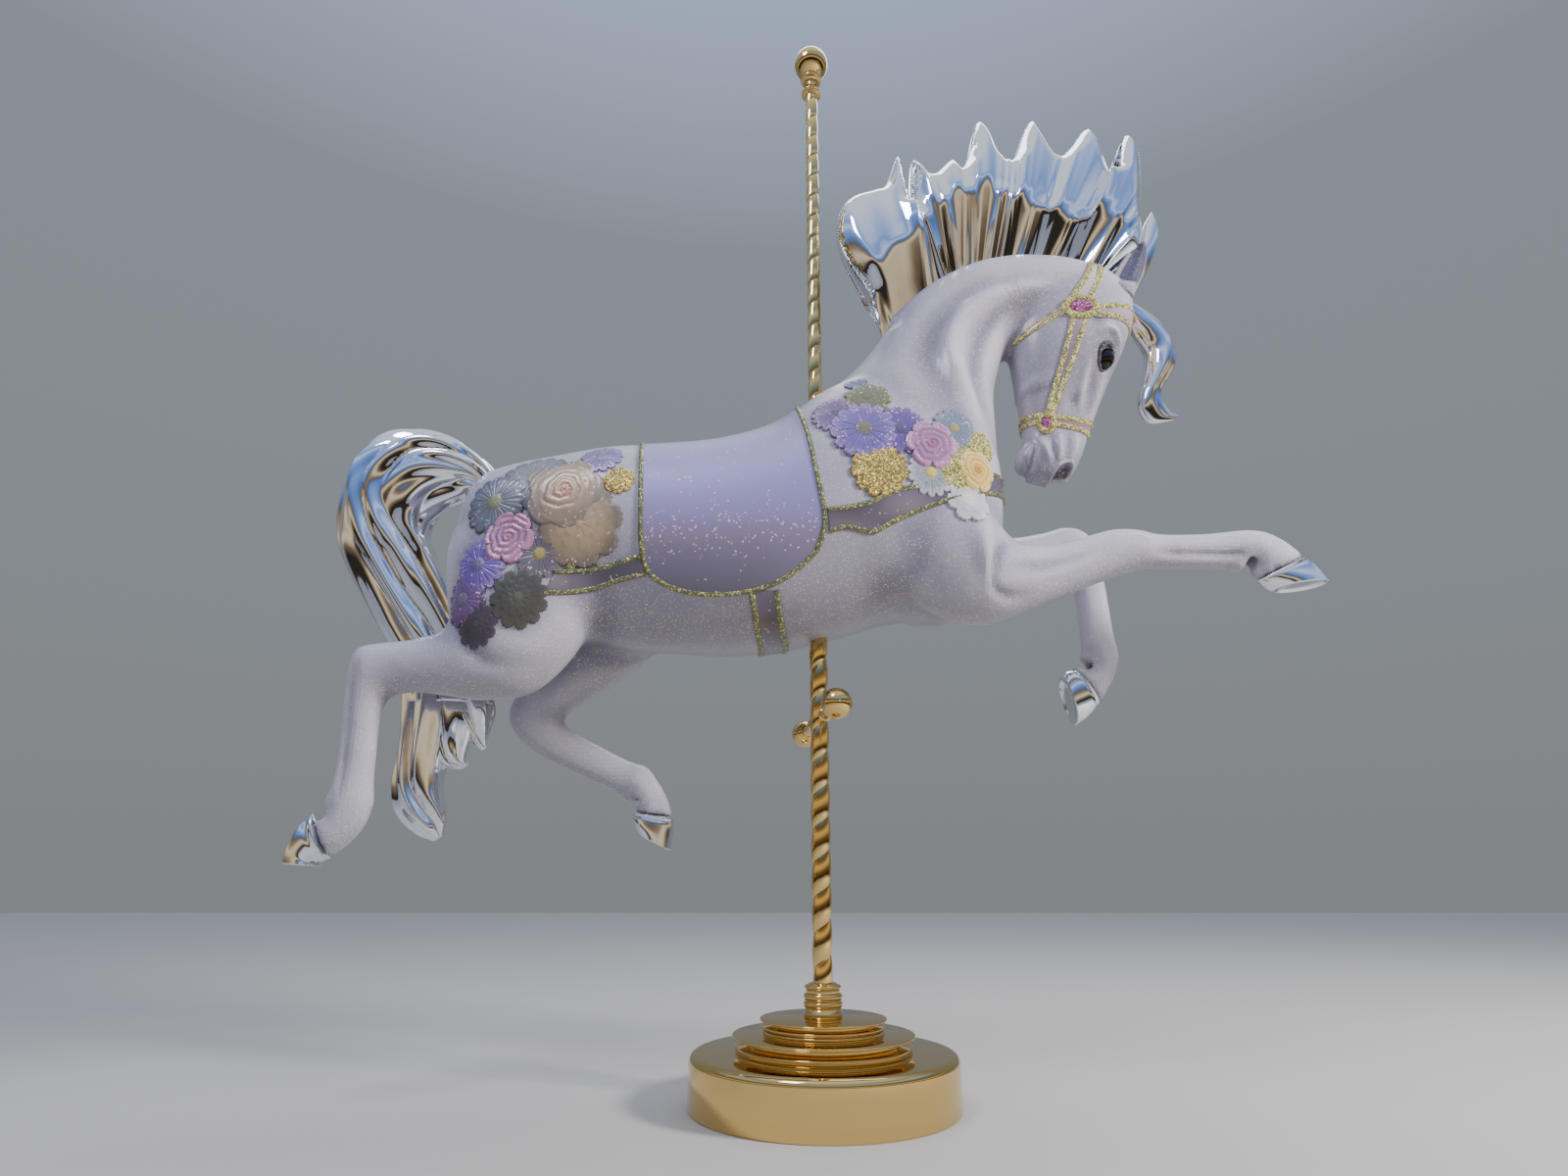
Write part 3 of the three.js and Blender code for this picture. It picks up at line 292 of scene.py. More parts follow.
RIGHT_HIND = [
    [-440, 1130, -690, 1160, -70, 70, 2.0], [-420, 1010, -752, 1060, -88, 84, 2.1],
    [-440, 900, -752, 965, -98, 88, 2.1], [-482, 800, -738, 895, -104, 84, 2.1],
    [-560, 722, -728, 852, -106, 72, 2.1], [-655, 708, -765, 836, -106, 58, 2.1],
    [-730, 718, -815, 825, -105, 48, 2.2], [-790, 723, -868, 821, -104, 41, 2.2],
    [-835, 712, -910, 808, -103, 37, 2.3], [-845, 672, -917, 752, -102, 33, 2.3],
    [-841, 568, -912, 600, -100, 27, 2.3], [-835, 520, -916, 530, -99, 31, 2.2],
    [-845, 476, -920, 500, -98, 31, 2.2], [-872, 440, -929, 498, -98, 30, 2.2],
    [-902, 418, -938, 500, -98, 32, 2.2],
]
LEFT_HIND = [
    [-400, 1130, -650, 1160, 70, 70, 2.0], [-340, 1020, -690, 1050, 88, 84, 2.1],
    [-318, 930, -680, 960, 98, 88, 2.1], [-345, 872, -650, 890, 102, 82, 2.1],
    [-400, 815, -620, 838, 103, 66, 2.1], [-455, 772, -632, 795, 102, 52, 2.2],
    [-510, 735, -650, 758, 101, 43, 2.2], [-550, 714, -664, 715, 100, 38, 2.3],
    [-540, 697, -635, 664, 100, 34, 2.3], [-505, 674, -575, 622, 99, 29, 2.3],
    [-400, 620, -438, 560, 97, 28, 2.3], [-362, 610, -402, 542, 96, 31, 2.2],
    [-333, 575, -385, 532, 96, 30, 2.2], [-312, 540, -382, 526, 96, 30, 2.2],
    [-299, 500, -383, 512, 96, 32, 2.2],
]
RIGHT_FORE = [
    [150, 1320, 130, 960, -95, 60, 2.0], [260, 1230, 190, 905, -98, 82, 2.1],
    [345, 1110, 262, 868, -100, 82, 2.1], [392, 1040, 330, 860, -100, 70, 2.1],
    [448, 1026, 405, 884, -98, 58, 2.2], [505, 1036, 490, 919, -96, 48, 2.2],
    [560, 1053, 555, 946, -95, 42, 2.3], [608, 1065, 612, 966, -95, 41, 2.3],
    [655, 1063, 660, 977, -95, 39, 2.3], [700, 1054, 703, 979, -94, 32, 2.3],
    [805, 1058, 806, 978, -93, 27, 2.3], [850, 1063, 847, 977, -93, 30, 2.2],
    [886, 1066, 866, 984, -93, 31, 2.2], [925, 1058, 880, 984, -93, 30, 2.2],
    [960, 1036, 884, 966, -93, 30, 2.2], [990, 1004, 890, 956, -93, 32, 2.2],
]
LEFT_FORE = [
    [150, 1330, 150, 960, 95, 60, 2.0], [262, 1270, 210, 915, 98, 82, 2.1],
    [350, 1170, 285, 915, 99, 80, 2.1], [405, 1122, 365, 960, 98, 66, 2.1],
    [465, 1122, 440, 1000, 96, 54, 2.2], [525, 1134, 505, 1030, 95, 45, 2.2],
    [578, 1148, 548, 1048, 95, 41, 2.3], [624, 1128, 566, 1038, 95, 40, 2.3],
    [645, 1075, 577, 1020, 95, 38, 2.3], [648, 1015, 579, 985, 94, 31, 2.3],
    [655, 890, 579, 880, 93, 28, 2.3], [660, 845, 580, 843, 93, 31, 2.2],
    [648, 802, 583, 828, 93, 30, 2.2], [627, 767, 572, 818, 93, 30, 2.2],
    [604, 738, 556, 812, 93, 32, 2.2],
]
HOOVES = {
    "hoof_hind_right": [
        [-938, 500, -902, 418, -98, 32, 2.2], [-962, 478, -915, 412, -98, 35, 2.2],
        [-975, 443, -922, 408, -98, 37, 2.2], [-980, 410, -917, 406, -98, 38, 2.2],
    ],
    "hoof_hind_left": [
        [-299, 500, -383, 512, 96, 32, 2.2], [-299, 480, -383, 500, 96, 34, 2.2],
        [-301, 460, -378, 486, 96, 36, 2.2], [-303, 438, -366, 468, 96, 37, 2.2],
    ],
    "hoof_fore_right": [
        [990, 1004, 890, 956, -93, 32, 2.2], [1005, 989, 896, 949, -93, 36, 2.2],
        [1018, 970, 904, 943, -93, 39, 2.2], [1029, 950, 914, 937, -93, 41, 2.2],
    ],
    "hoof_fore_left": [
        [604, 738, 556, 812, 93, 32, 2.2], [590, 722, 545, 812, 93, 36, 2.2],
        [572, 706, 536, 808, 93, 39, 2.2], [552, 694, 528, 798, 93, 41, 2.2],
    ],
}
LEGS = [RIGHT_HIND, LEFT_HIND, RIGHT_FORE, LEFT_FORE]
print(sum(map(len, [TRUNK, NECK, HEAD, EAR, *LEGS])), "stations")

# %% [markdown]
# # Finishes
# Each finish starts from what the real one is: glossy enamel with a little pearl and glitter on the body,
# plated hair and hooves, a polished brass pole, and trappings in lacquer and glitter paint. Colours are
# written as the hex values that a painter reads off a screen, and one function turns them into the linear
# light values that Blender reckons with.

# %% Colours and shader nodes
def linear(hex_colour):
    """The linear light of an sRGB colour: below 0.04045 a straight line, above it a power of 2.4."""
    values = np.array([int(hex_colour[i:i + 2], 16) / 255 for i in (1, 3, 5)])
    return (*np.where(values <= 0.04045, values / 12.92, ((values + 0.055) / 1.055) ** 2.4), 1.0)


def add_node(material, kind, inputs=(), **settings):
    """Adds one shader node to a material or a world, and returns its outputs. Settings are the node's own,
    and each of its sockets named in inputs gets a value or the output of another node."""
    made = material.node_tree.nodes.new("ShaderNode" + kind)
    for name, value in settings.items():
        setattr(made, name, value)
    for socket, value in dict(inputs).items():
        if isinstance(value, bpy.types.NodeSocket):
            material.node_tree.links.new(value, made.inputs[socket])
        else:
            made.inputs[socket].default_value = value
    return made.outputs


def new_finish(name):
    """An empty material, and its shader to fill in."""
    material = bpy.data.materials.new(name)
    material.use_nodes = True
    return material, material.node_tree.nodes["Principled BSDF"].inputs


def link(material, output, socket):
    """Joins an output to a socket."""
    material.node_tree.links.new(output, socket)


def flaked(material, place, size, channel, limit):
    """Cells of a size in metres, each with a random colour: that colour, and 1 in the cells where its
    channel lies above the limit and 0 in the others."""
    cells = add_node(material, "TexVoronoi", {"Vector": place, "Scale": 1 / size})["Color"]
    luck = add_node(material, "SeparateColor", {"Color": cells})[channel]
    return cells, add_node(material, "Math", {0: luck, 1: limit}, operation="GREATER_THAN")[0]


print("Half grey on a screen is", round(float(linear("#808080")[0]), 3), "of full light")

# %% [markdown]
# # Pearl enamel
# The body is sprayed with a lilac-grey pearl enamel: smooth, with a soft broad shine and a sparse fine
# glitter in the clear coat. The flakes are a tenth of a millimetre in the real paint. Drawn that small they
# would vanish, so they are cells of 1.3 mm, of which a few in a hundred are bright. A shallow orange peel
# breaks up the reflections, and faint clouds show where the spray gun passed.

# %% Pearl enamel
FLAKE_SIZE = 0.0013  # metres
FLAKE_SHARE = 0.962  # a cell's random value above this makes it a flake
PEEL_WAVE = 1 / 0.012  # waves of the orange peel in a metre
CLOUD_WAVE = 9.0  # clouds in a metre

pearl, shader = new_finish("pearl_enamel")
spot = add_node(pearl, "TexCoord")["Object"]
tint = add_node(pearl, "Attribute", attribute_name="tint")["Color"]
flake = flaked(pearl, spot, FLAKE_SIZE, "Red", FLAKE_SHARE)[1]
cloud = add_node(pearl, "TexNoise", {"Vector": spot, "Scale": CLOUD_WAVE, "Detail": 3.0})["Fac"]
cloudy = add_node(pearl, "Mix", {
    "Factor": cloud, "A": linear("#E9E4EC"), "B": linear("#FFFFFF"),
}, data_type="RGBA")["Result"]
paint = add_node(pearl, "Mix", {
    "Factor": 1.0, "A": tint, "B": cloudy,
}, data_type="RGBA", blend_type="MULTIPLY")["Result"]
flecked = add_node(pearl, "Mix", {
    "Factor": flake, "A": paint, "B": linear("#E6DFCB"),
}, data_type="RGBA")["Result"]
grain = add_node(pearl, "MapRange", {"Value": flake, "To Min": 0.36, "To Max": 0.12})["Result"]
peel = add_node(pearl, "TexNoise", {"Vector": spot, "Scale": PEEL_WAVE, "Detail": 2.0})["Fac"]
bump = add_node(pearl, "Bump", {"Height": peel, "Strength": 0.12, "Distance": 0.0006})
link(pearl, flecked, shader["Base Color"])
link(pearl, grain, shader["Roughness"])
link(pearl, bump["Normal"], shader["Normal"])
shader["Metallic"].default_value = 0.0
shader["IOR"].default_value = 1.5
shader["Coat Weight"].default_value = 0.35
shader["Coat Roughness"].default_value = 0.18
shader["Sheen Weight"].default_value = 0.12
shader["Sheen Roughness"].default_value = 0.4
print(pearl.name)

# %% [markdown]
# # Chrome and brass
# Hair and hooves are plated with bright chrome, a mirror that takes nearly all of its colour from what
# stands round it. The pole and the stand are polished brass, lacquered so that it stays bright. Both are
# metals, so their colour is the colour of their reflection, and both have the faint unevenness of buffing by
# hand, a long soft wave of a few centimetres.

# %% Chrome and brass
def polished(name, colour, roughness, wave, depth):
    """A buffed metal: a soft wave in the surface, and roughness that varies a little with the buffing."""
    metal, inputs = new_finish(name)
    place = add_node(metal, "TexCoord")["Object"]
    sweep = add_node(metal, "TexNoise", {"Vector": place, "Scale": 1 / wave, "Detail": 1.0})
    haze = add_node(metal, "MapRange", {
        "Value": sweep["Fac"], "To Min": roughness * 0.6, "To Max": roughness * 1.4,
    })["Result"]
    soft = add_node(metal, "Bump", {"Height": sweep["Fac"], "Strength": 0.2, "Distance": depth})
    link(metal, haze, inputs["Roughness"])
    link(metal, soft["Normal"], inputs["Normal"])
    inputs["Base Color"].default_value = linear(colour)
    inputs["Metallic"].default_value = 1.0
    return metal


chrome = polished("bright_chrome", "#E6E8EE", 0.045, wave=0.05, depth=0.0008)
brass = polished("polished_brass", "#DFBE78", 0.07, wave=0.03, depth=0.0003)
print(chrome.name, brass.name)

# %% [markdown]
# # Glitter paint
# The cords that edge the saddle and the straps are painted with gold glitter: flat flakes that lie every
# which way, so that each one flashes from another side. Each flake is a cell whose normal is tipped at
# random. The flakes are near half a millimetre in the real paint and are drawn at 2.6 mm to show. There are
# three golds: a greenish one on the cords, a warm one on two flowers, and a bright one on the bridle, its
# bosses and the foremost flowers. The jewels of the bosses are the same paint in pink.

# %% Glitter paint
GLITTER_SIZE = 0.0026  # metres


def glittering(name, dark, bright, share, tilt, metal):
    """Glitter paint: a share of the cells shows the bright colour, and every cell's normal is tipped by its
    own random vector times the tilt."""
    glitter, inputs = new_finish(name)
    place = add_node(glitter, "TexCoord")["Object"]
    flakes, lit = flaked(glitter, place, GLITTER_SIZE, "Green", 1 - share)
    colour = add_node(glitter, "Mix", {
        "Factor": lit, "A": linear(dark), "B": linear(bright),
    }, data_type="RGBA")["Result"]
    centred = add_node(glitter, "VectorMath", {0: flakes, 1: (0.5, 0.5, 0.5)}, operation="SUBTRACT")[0]
    tipped = add_node(glitter, "VectorMath", {0: centred, "Scale": tilt}, operation="SCALE")[0]
    straight = add_node(glitter, "NewGeometry")["Normal"]
    leaning = add_node(glitter, "VectorMath", {0: straight, 1: tipped}, operation="ADD")[0]
    normal = add_node(glitter, "VectorMath", {0: leaning}, operation="NORMALIZE")[0]
    link(glitter, colour, inputs["Base Color"])
    link(glitter, normal, inputs["Normal"])
    inputs["Metallic"].default_value = metal
    inputs["Roughness"].default_value = 0.28
    return glitter


gold_glitter = glittering("gold_glitter", "#74785A", "#EFE28A", share=0.15, tilt=0.7, metal=0.55)
petal_glitter = glittering("petal_gold_glitter", "#98824E", "#FFE27C", share=0.42, tilt=0.9, metal=0.5)
bright_glitter = glittering("bright_gold_glitter", "#928E58", "#FFF59E", share=0.45, tilt=0.9, metal=0.5)
jewel_glitter = glittering("jewel_glitter", "#7E3F70", "#F08CC8", share=0.42, tilt=0.9, metal=0.5)
print(gold_glitter.name, petal_glitter.name, bright_glitter.name, jewel_glitter.name)

# %% [markdown]
# # Lacquer
# The saddle, the straps and the petals are lacquered over a tint that changes from place to place, which
# the pieces carry as an attribute, and sparse flakes lie under the clear coat. A flake is half a millimetre
# in the real paint and is drawn at 3 mm, so that single ones show. Faint brush marks vary the gloss.

# %% Lacquer
FLASH_SIZE = 0.003  # metres
FLASH_STRENGTH = 0.75  # share of a flake's own colour where there is one
SMEAR_WAVE = 60.0  # brush marks in a metre


def lacquered(name, roughness, metal, share, flash, coat):
    """Tinted lacquer with bright flakes of one colour under a clear coat. The share of cells that are flakes
    is multiplied by the tint's alpha."""
    lacquer, inputs = new_finish(name)
    place = add_node(lacquer, "TexCoord")["Object"]
    tone = add_node(lacquer, "Attribute", attribute_name="tint")
    rarity = add_node(lacquer, "Math", {0: tone["Alpha"], 1: -share, 2: 1.0}, operation="MULTIPLY_ADD")[0]
    lit = flaked(lacquer, place, FLASH_SIZE, "Blue", rarity)[1]
    strong = add_node(lacquer, "Math", {0: lit, 1: FLASH_STRENGTH}, operation="MULTIPLY")[0]
    colour = add_node(lacquer, "Mix", {
        "Factor": strong, "A": tone["Color"], "B": linear(flash),
    }, data_type="RGBA")["Result"]
    smear = add_node(lacquer, "TexNoise", {"Vector": place, "Scale": SMEAR_WAVE, "Detail": 4.0})
    gloss = add_node(lacquer, "MapRange", {
        "Value": smear["Fac"], "To Min": roughness * 0.75, "To Max": roughness * 1.25,
    })["Result"]
    grain = add_node(lacquer, "Bump", {"Height": smear["Fac"], "Strength": 0.25, "Distance": 0.0006})
    link(lacquer, colour, inputs["Base Color"])
    link(lacquer, gloss, inputs["Roughness"])
    link(lacquer, grain["Normal"], inputs["Normal"])
    inputs["Metallic"].default_value = metal
    inputs["Coat Weight"].default_value = coat
    inputs["Coat Roughness"].default_value = 0.12
    return lacquer


saddle_lacquer = lacquered("saddle_lacquer", 0.42, 0.15, share=0.02, flash="#F6C6F0", coat=0.15)
strap_lacquer = lacquered("strap_lacquer", 0.34, 0.3, share=0.015, flash="#E8C8C0", coat=0.4)
petal_paint = lacquered("petal_paint", 0.36, 0.2, share=0.05, flash="#F8C4EC", coat=0.3)
print(saddle_lacquer.name, strap_lacquer.name, petal_paint.name)

# %% [markdown]
# # Eye glass
# The eyes are black glass cabochons: nearly black, perfectly smooth, and lit by nothing but their shine.
# Faint clouds of brown keep them from looking like holes.

# %% Eye glass
VEIL_WAVE = 70.0  # clouds of brown in a metre

eye_glass, shader = new_finish("black_eye_glass")
spot = add_node(eye_glass, "TexCoord")["Object"]
veil = add_node(eye_glass, "TexNoise", {"Vector": spot, "Scale": VEIL_WAVE, "Detail": 2.0})["Fac"]
dark = add_node(eye_glass, "Mix", {
    "Factor": veil, "A": linear("#050506"), "B": linear("#1A120E"),
}, data_type="RGBA")["Result"]
link(eye_glass, dark, shader["Base Color"])
shader["Roughness"].default_value = 0.04
shader["IOR"].default_value = 1.52
shader["Specular IOR Level"].default_value = 0.3
shader["Coat Weight"].default_value = 0.2
shader["Coat Roughness"].default_value = 0.02
print(eye_glass.name)

# %% [markdown]
# # Tints carried by a mesh
# Paint that gathers in a groove or fades along a saddle belongs to places on the piece. It could be drawn
# on an image and wrapped round. But the points of these meshes lie a few millimetres apart, so each carries
# its own colour, and the finish reads it between them.

# %% Tints carried by a mesh
def tint_points(thing, colours):
    """Stores one linear colour for each point of the mesh, as the attribute that the finishes read."""
    layer = thing.data.color_attributes.new("tint", "FLOAT_COLOR", "POINT")
    layer.data.foreach_set("color", np.ascontiguousarray(colours, dtype=np.float32).ravel())


def between(values, places, hex_colours):
    """Linear colours that run from one hex colour to the next as the value passes the given places."""
    table = np.array([linear(c) for c in hex_colours])
    return np.stack([np.interp(values, places, table[:, k]) for k in range(4)], -1)


print("Half way from black to white:", between(0.5, [0, 1], ["#000000", "#FFFFFF"])[0])

# %% [markdown]
# # One skin for the carved body
# The forms of the body are separate tubes that pass through each other. On the real horse the joints between
# neck, shoulder and leg are rubbed round. A voxel remesh wraps all tubes in one even skin, and then the skin
# is rubbed down: every point moves towards the middle of its neighbours, a little everywhere and much more
# where the skin turns in sharply, which is found from the skin itself, so no list of joints is needed.

# %% Remesh and rub down
VOXEL = 8.2  # millimetres
RUB_ROUNDS = 90
SHARP_TURN = 0.5  # millimetres that neighbours stand above a point where rubbing is at its full strength
THROAT, CHIN = 430, 1200  # the head lies ahead of the one and above the other
HEAD_RUB = 0.3  # share of the rubbing that the head gets, so that its bones stay


def neighbours(thing):
    """Both directions of every edge, and how many neighbours each point has."""
    edges = read(thing.data.edges, "vertices", 2, int)
    both = np.concatenate((edges, edges[:, ::-1]))
    return both, np.bincount(both[:, 0], minlength=len(thing.data.vertices))


def mean_of_neighbours(values, both, count):
    """For each point, the mean of a value or vector over the points that an edge joins to it."""
    columns = values.reshape(len(values), -1)
    sums = [np.bincount(both[:, 0], columns[both[:, 1], k], len(values)) for k in range(columns.shape[1])]
    return (np.stack(sums, 1) / count[:, None]).reshape(values.shape)


def normals_of(thing):
    """The way the skin faces at each point, as unit vectors."""
    return read(thing.data.vertex_normals, "vector", 3, np.float32).astype(float)


def rub(thing, rounds, share):
    """Each round moves a point by its share of the way to the mean of its neighbours."""
    both, count = neighbours(thing)
    points = points_of(thing)
    share = np.broadcast_to(share, len(points))[:, None]
    for _ in range(rounds):
        points = points + share * (mean_of_neighbours(points, both, count) - points)
    place_points(thing, points)


def turned_in(thing):
    """How sharply the skin turns in at each point, from 0 to 1, spread over the nearest points."""
    both, count = neighbours(thing)
    points, normals = points_of(thing), normals_of(thing)
    for _ in range(2):
        points = mean_of_neighbours(points, both, count)
    rise = np.einsum("ij,ij->i", mean_of_neighbours(points, both, count) - points, normals)
    sharp = held(rise / SHARP_TURN)
    for _ in range(5):
        sharp = held(1.25 * mean_of_neighbours(sharp, both, count))
    return sharp


horse = new_piece("horse_body", [limb(table, around=96) for table in [TRUNK, NECK, HEAD, *LEGS]], [pearl])
remesh = horse.modifiers.new("One skin", "REMESH")
remesh.mode = "VOXEL"
remesh.voxel_size = VOXEL * MM
settle(horse)
rub(horse, 4, 0.5)
skin = points_of(horse)
on_head = (skin[:, 0] > THROAT) & (skin[:, 2] > CHIN)
rub(horse, RUB_ROUNDS, 0.5 * turned_in(horse) * np.where(on_head, HEAD_RUB, 1.0))
rub(horse, 3, 0.4)
print(len(horse.data.vertices), "points,", len(horse.data.polygons), "faces")

# %% [markdown]
# # Finer skin for the head
# Eyelids, nostrils and lips are only a few millimetres across, so the head gets a skin of half the spacing,
# and the muzzle and the eyes a quarter. Cutting the edges of just those parts keeps the rest light.

# %% Finer head
FINE_HEAD = [436, 1205, 1700]  # ahead of this x, and between these two heights
HEAD_LINE = [600, 1500, 0.86, 0.3]  # x, z of a place on the line down the head, and the direction across it
HEAD_HALF = 200  # how far from that line the skin is cut finer
EYE_AND_MUZZLE = [[655, 1500, 48], [520, 1250, 70]]  # x, z and reach


def cut_finer(thing, chosen):
    """Halves every edge whose two ends are both among the chosen points."""
    mesh = bmesh.new()
    mesh.from_mesh(thing.data)
    mesh.edges.ensure_lookup_table()
    inside = np.flatnonzero(chosen[read(thing.data.edges, "vertices", 2, int)].all(1))
    bmesh.ops.subdivide_edges(mesh, edges=[mesh.edges[i] for i in inside], cuts=1, use_grid_fill=True)
    mesh.to_mesh(thing.data)
    mesh.free()
    thing.data.update()


def near(points, x, z, reach):
    """Whether points lie within the reach of a place, seen from the side."""
    return np.hypot(points[:, 0] - x, points[:, 2] - z) < reach


skin = points_of(horse)
rear, low, high = FINE_HEAD
x, z, right, up = HEAD_LINE
across = np.abs((skin[:, 0] - x) * right + (skin[:, 2] - z) * up)
cut_finer(horse, (skin[:, 2] > low) & (across < HEAD_HALF) & (skin[:, 0] > rear) & (skin[:, 2] < high))
skin = points_of(horse)
eye, muzzle = EYE_AND_MUZZLE
cut_finer(horse, near(skin, *eye) | near(skin, *muzzle))
skin = points_of(horse)
rub(horse, 3, 0.5 * ((skin[:, 0] > rear) & (skin[:, 2] > low)))
print(len(horse.data.polygons), "faces")

# %% [markdown]
# # Carving
# A carver works over the smooth form with a gouge: a ridge where a muscle or a bone stands out, a groove
# beside it. Each stroke is a route seen from the side, with a half width and a height at each of its places,
# and the skin is moved along its own normal by a bell curve of the distance from the route. Strokes on the
# neck and head are cut on both sides, and those on the body on the near side alone, because the far side,
# which faces the middle of the carousel, is left plainer.

# %% Strokes of the gouge
# Each row: x, z, half width, and height, which is negative in a groove.
NECK_STROKES = [
    [
        [545, 1692, 16, 2], [469, 1676, 20, 8], [378, 1631, 22, 13], [318, 1573, 23, 16],
        [291, 1491, 24, 16], [302, 1416, 26, 14], [321, 1350, 28, 10], [336, 1285, 30, 4],
    ],
    [
        [500, 1655, 16, -2], [424, 1606, 20, -9], [374, 1538, 22, -13], [352, 1461, 22, -13],
        [355, 1387, 22, -9], [366, 1320, 22, -3],
    ],
    [
        [390, 1700, 22, -2], [283, 1600, 30, -6], [236, 1485, 34, -7], [246, 1393, 34, -5],
        [270, 1320, 30, -2],
    ],
]
BODY_STROKES = [
    [[323, 1085, 18, 2], [318, 1013, 17, 10], [322, 961, 16, 11], [332, 914, 15, 4]],
    [
        [362, 1005, 10, -3], [343, 980, 10, -8], [334, 946, 10, -10], [337, 912, 10, -9], [370, 903, 11, -6],
        [404, 910, 12, -2],
    ],
    [[128, 1010, 38, 2], [148, 955, 42, 6], [170, 905, 40, 6], [210, 875, 30, 2]],
    [[-420, 1010, 32, -1], [-415, 940, 40, -2], [-440, 868, 34, -2], [-480, 812, 18, -2]],
    [[-655, 1080, 24, -1], [-700, 985, 22, -6], [-716, 905, 16, -6], [-712, 860, 12, -2]],
    [[-700, 868, 14, -1], [-676, 815, 16, -6], [-640, 776, 16, -6], [-600, 762, 14, -2]],
    [[-600, 800, 24, 2], [-556, 790, 26, 6], [-510, 820, 26, 4], [-480, 880, 24, 1]],
]
FACE_STROKES = [
    [[452, 1520, 16, 1], [452, 1470, 18, 3], [462, 1436, 18, 4], [500, 1438, 18, 3], [540, 1450, 16, 1]],
    [[444, 1412, 10, -1], [470, 1417, 10, -2], [505, 1420, 10, -1.5], [545, 1430, 10, -1]],
    [[612, 1480, 9, 2], [602, 1446, 9, 5], [592, 1413, 9, 5], [588, 1380, 8, 2]],
    [[628, 1478, 11, -2], [620, 1455, 11, -4], [616, 1427, 11, -4], [606, 1378, 11, -2]],
    [[662, 1472, 8, 1], [651, 1460, 9, 4], [637, 1423, 9, 5], [616, 1365, 8, 3], [600, 1330, 8, 1]],
    [[574, 1400, 9, -2], [570, 1390, 10, -4], [566, 1380, 9, -2]],
    [[640, 1552, 9, 3], [660, 1560, 9, 8], [680, 1548, 9, 8], [688, 1515, 9, 5], [680, 1480, 8, 1]],
    [[618, 1560, 14, -2], [632, 1580, 15, -6], [655, 1590, 12, -4], [676, 1588, 10, -1]],
    [[655, 1480, 15, -4], [652, 1499, 19, -9], [658, 1518, 15, -5]],
    [[492, 1312, 8, 1], [499, 1288, 8, 5], [506, 1262, 8, 4], [512, 1245, 7, 1]],
    [[536, 1315, 8, 1], [534, 1288, 8, 5], [530, 1262, 8, 4], [526, 1248, 7, 1]],
    [[578, 1310, 8, 2], [570, 1280, 9, 6], [560, 1256, 8, 5], [553, 1247, 7, 1]],
    [[514, 1312, 7, -1], [518, 1285, 7, -4], [519, 1258, 7, -3], [516, 1240, 6, -1]],
    [[556, 1316, 7, -1], [552, 1288, 7, -4], [546, 1262, 6, -3], [542, 1252, 6, -1]],
    [[486, 1300, 5, -1], [478, 1272, 5, -4], [468, 1242, 4.5, -6], [460, 1214, 4.5, -7]],
    [[466, 1290, 9, 2], [458, 1268, 9, 4], [448, 1252, 8, 3]],
    [[480, 1240, 8, 1], [476, 1222, 8, 4], [486, 1206, 8, 2]],
]
print(len(NECK_STROKES + BODY_STROKES + FACE_STROKES), "strokes")

# %% Carve the muscles and the face
STROKE_PLACES = 50  # places along a stroke


def carve(thing, route, side):
    """Moves points on one side of the horse by the height times a bell of the distance, where both come from
    the nearest place of the route, and the more, the more the skin faces that side."""
    stroke = along(route, STROKE_PLACES)
    points = points_of(thing)
    reach = 3 * stroke[:, 2].max()
    low, high = stroke[:, :2].min(0) - reach, stroke[:, :2].max(0) + reach
    flat = points[:, [0, 2]]
    nearby = np.flatnonzero(((flat > low) & (flat < high)).all(1) & (points[:, 1] * side > 0))
    away = np.linalg.norm(flat[nearby, None] - stroke[None, :, :2], axis=-1)
    best = away.argmin(1)
    half, rise = stroke[best, 2], stroke[best, 3]
    normals = normals_of(thing)[nearby]
    faced = held(normals[:, 1] * side * 2.5 - 0.1)
    shift = rise * bell(away.min(1), half) * faced
    points[nearby] += normals * shift[:, None]
    place_points(thing, points)


for side in (-1, 1):
    for route in NECK_STROKES + FACE_STROKES:
        carve(horse, route, side)
for route in BODY_STROKES:
    carve(horse, route, -1)
print("carved", len(horse.data.vertices), "points")

# %% [markdown]
# # Tendons and fetlocks
# On the lower leg a groove parts the tendon from the bone, and behind the fetlock, the joint above the hoof,
# the leg draws in. A groove in its side wouldn't change the outline, so the rear of the leg is pushed in and
# out as well. The rows follow each leg's own stations, and the skin is cut finer before it is pushed.

# %% Carve the legs
# Each row: the station, a half width and a height.
TENDON_ROWS = {
    "fore": [[8.6, 7, -2], [9.2, 7, -7], [10, 6.5, -8], [10.8, 7, -5], [11.2, 7, -2]],
    "hind": [[8.2, 7, -2], [8.8, 7, -7], [9.6, 7, -8], [10.4, 7, -5], [10.9, 7, -2]],
}
FOREARM_ROWS = [[3.0, 16, -1], [4.0, 14, -5], [5.2, 12, -4], [6.2, 9, -1]]
FETLOCK_ROWS = [[11.2, 16, 7], [12.35, 9, -24], [13.7, 12, 6]]
TENDON_SHARE, FOREARM_SHARE = 0.68, 0.45  # of the way from the leg's first edge to its second
FETLOCK_STATION = 12
FETLOCK_REACH = 45  # millimetres round it where the skin is cut finer


def leg_route(table, rows, share):
    """A stroke along a leg. The place of each row is at its station, a share of the way from the leg's first
    edge to its second."""
    rows = np.array(rows, float)
    ribs = smooth_rows(table, rows[:, 0])
    return np.concatenate((ribs[:, :2] * (1 - share) + ribs[:, 2:4] * share, rows[:, 1:]), 1)


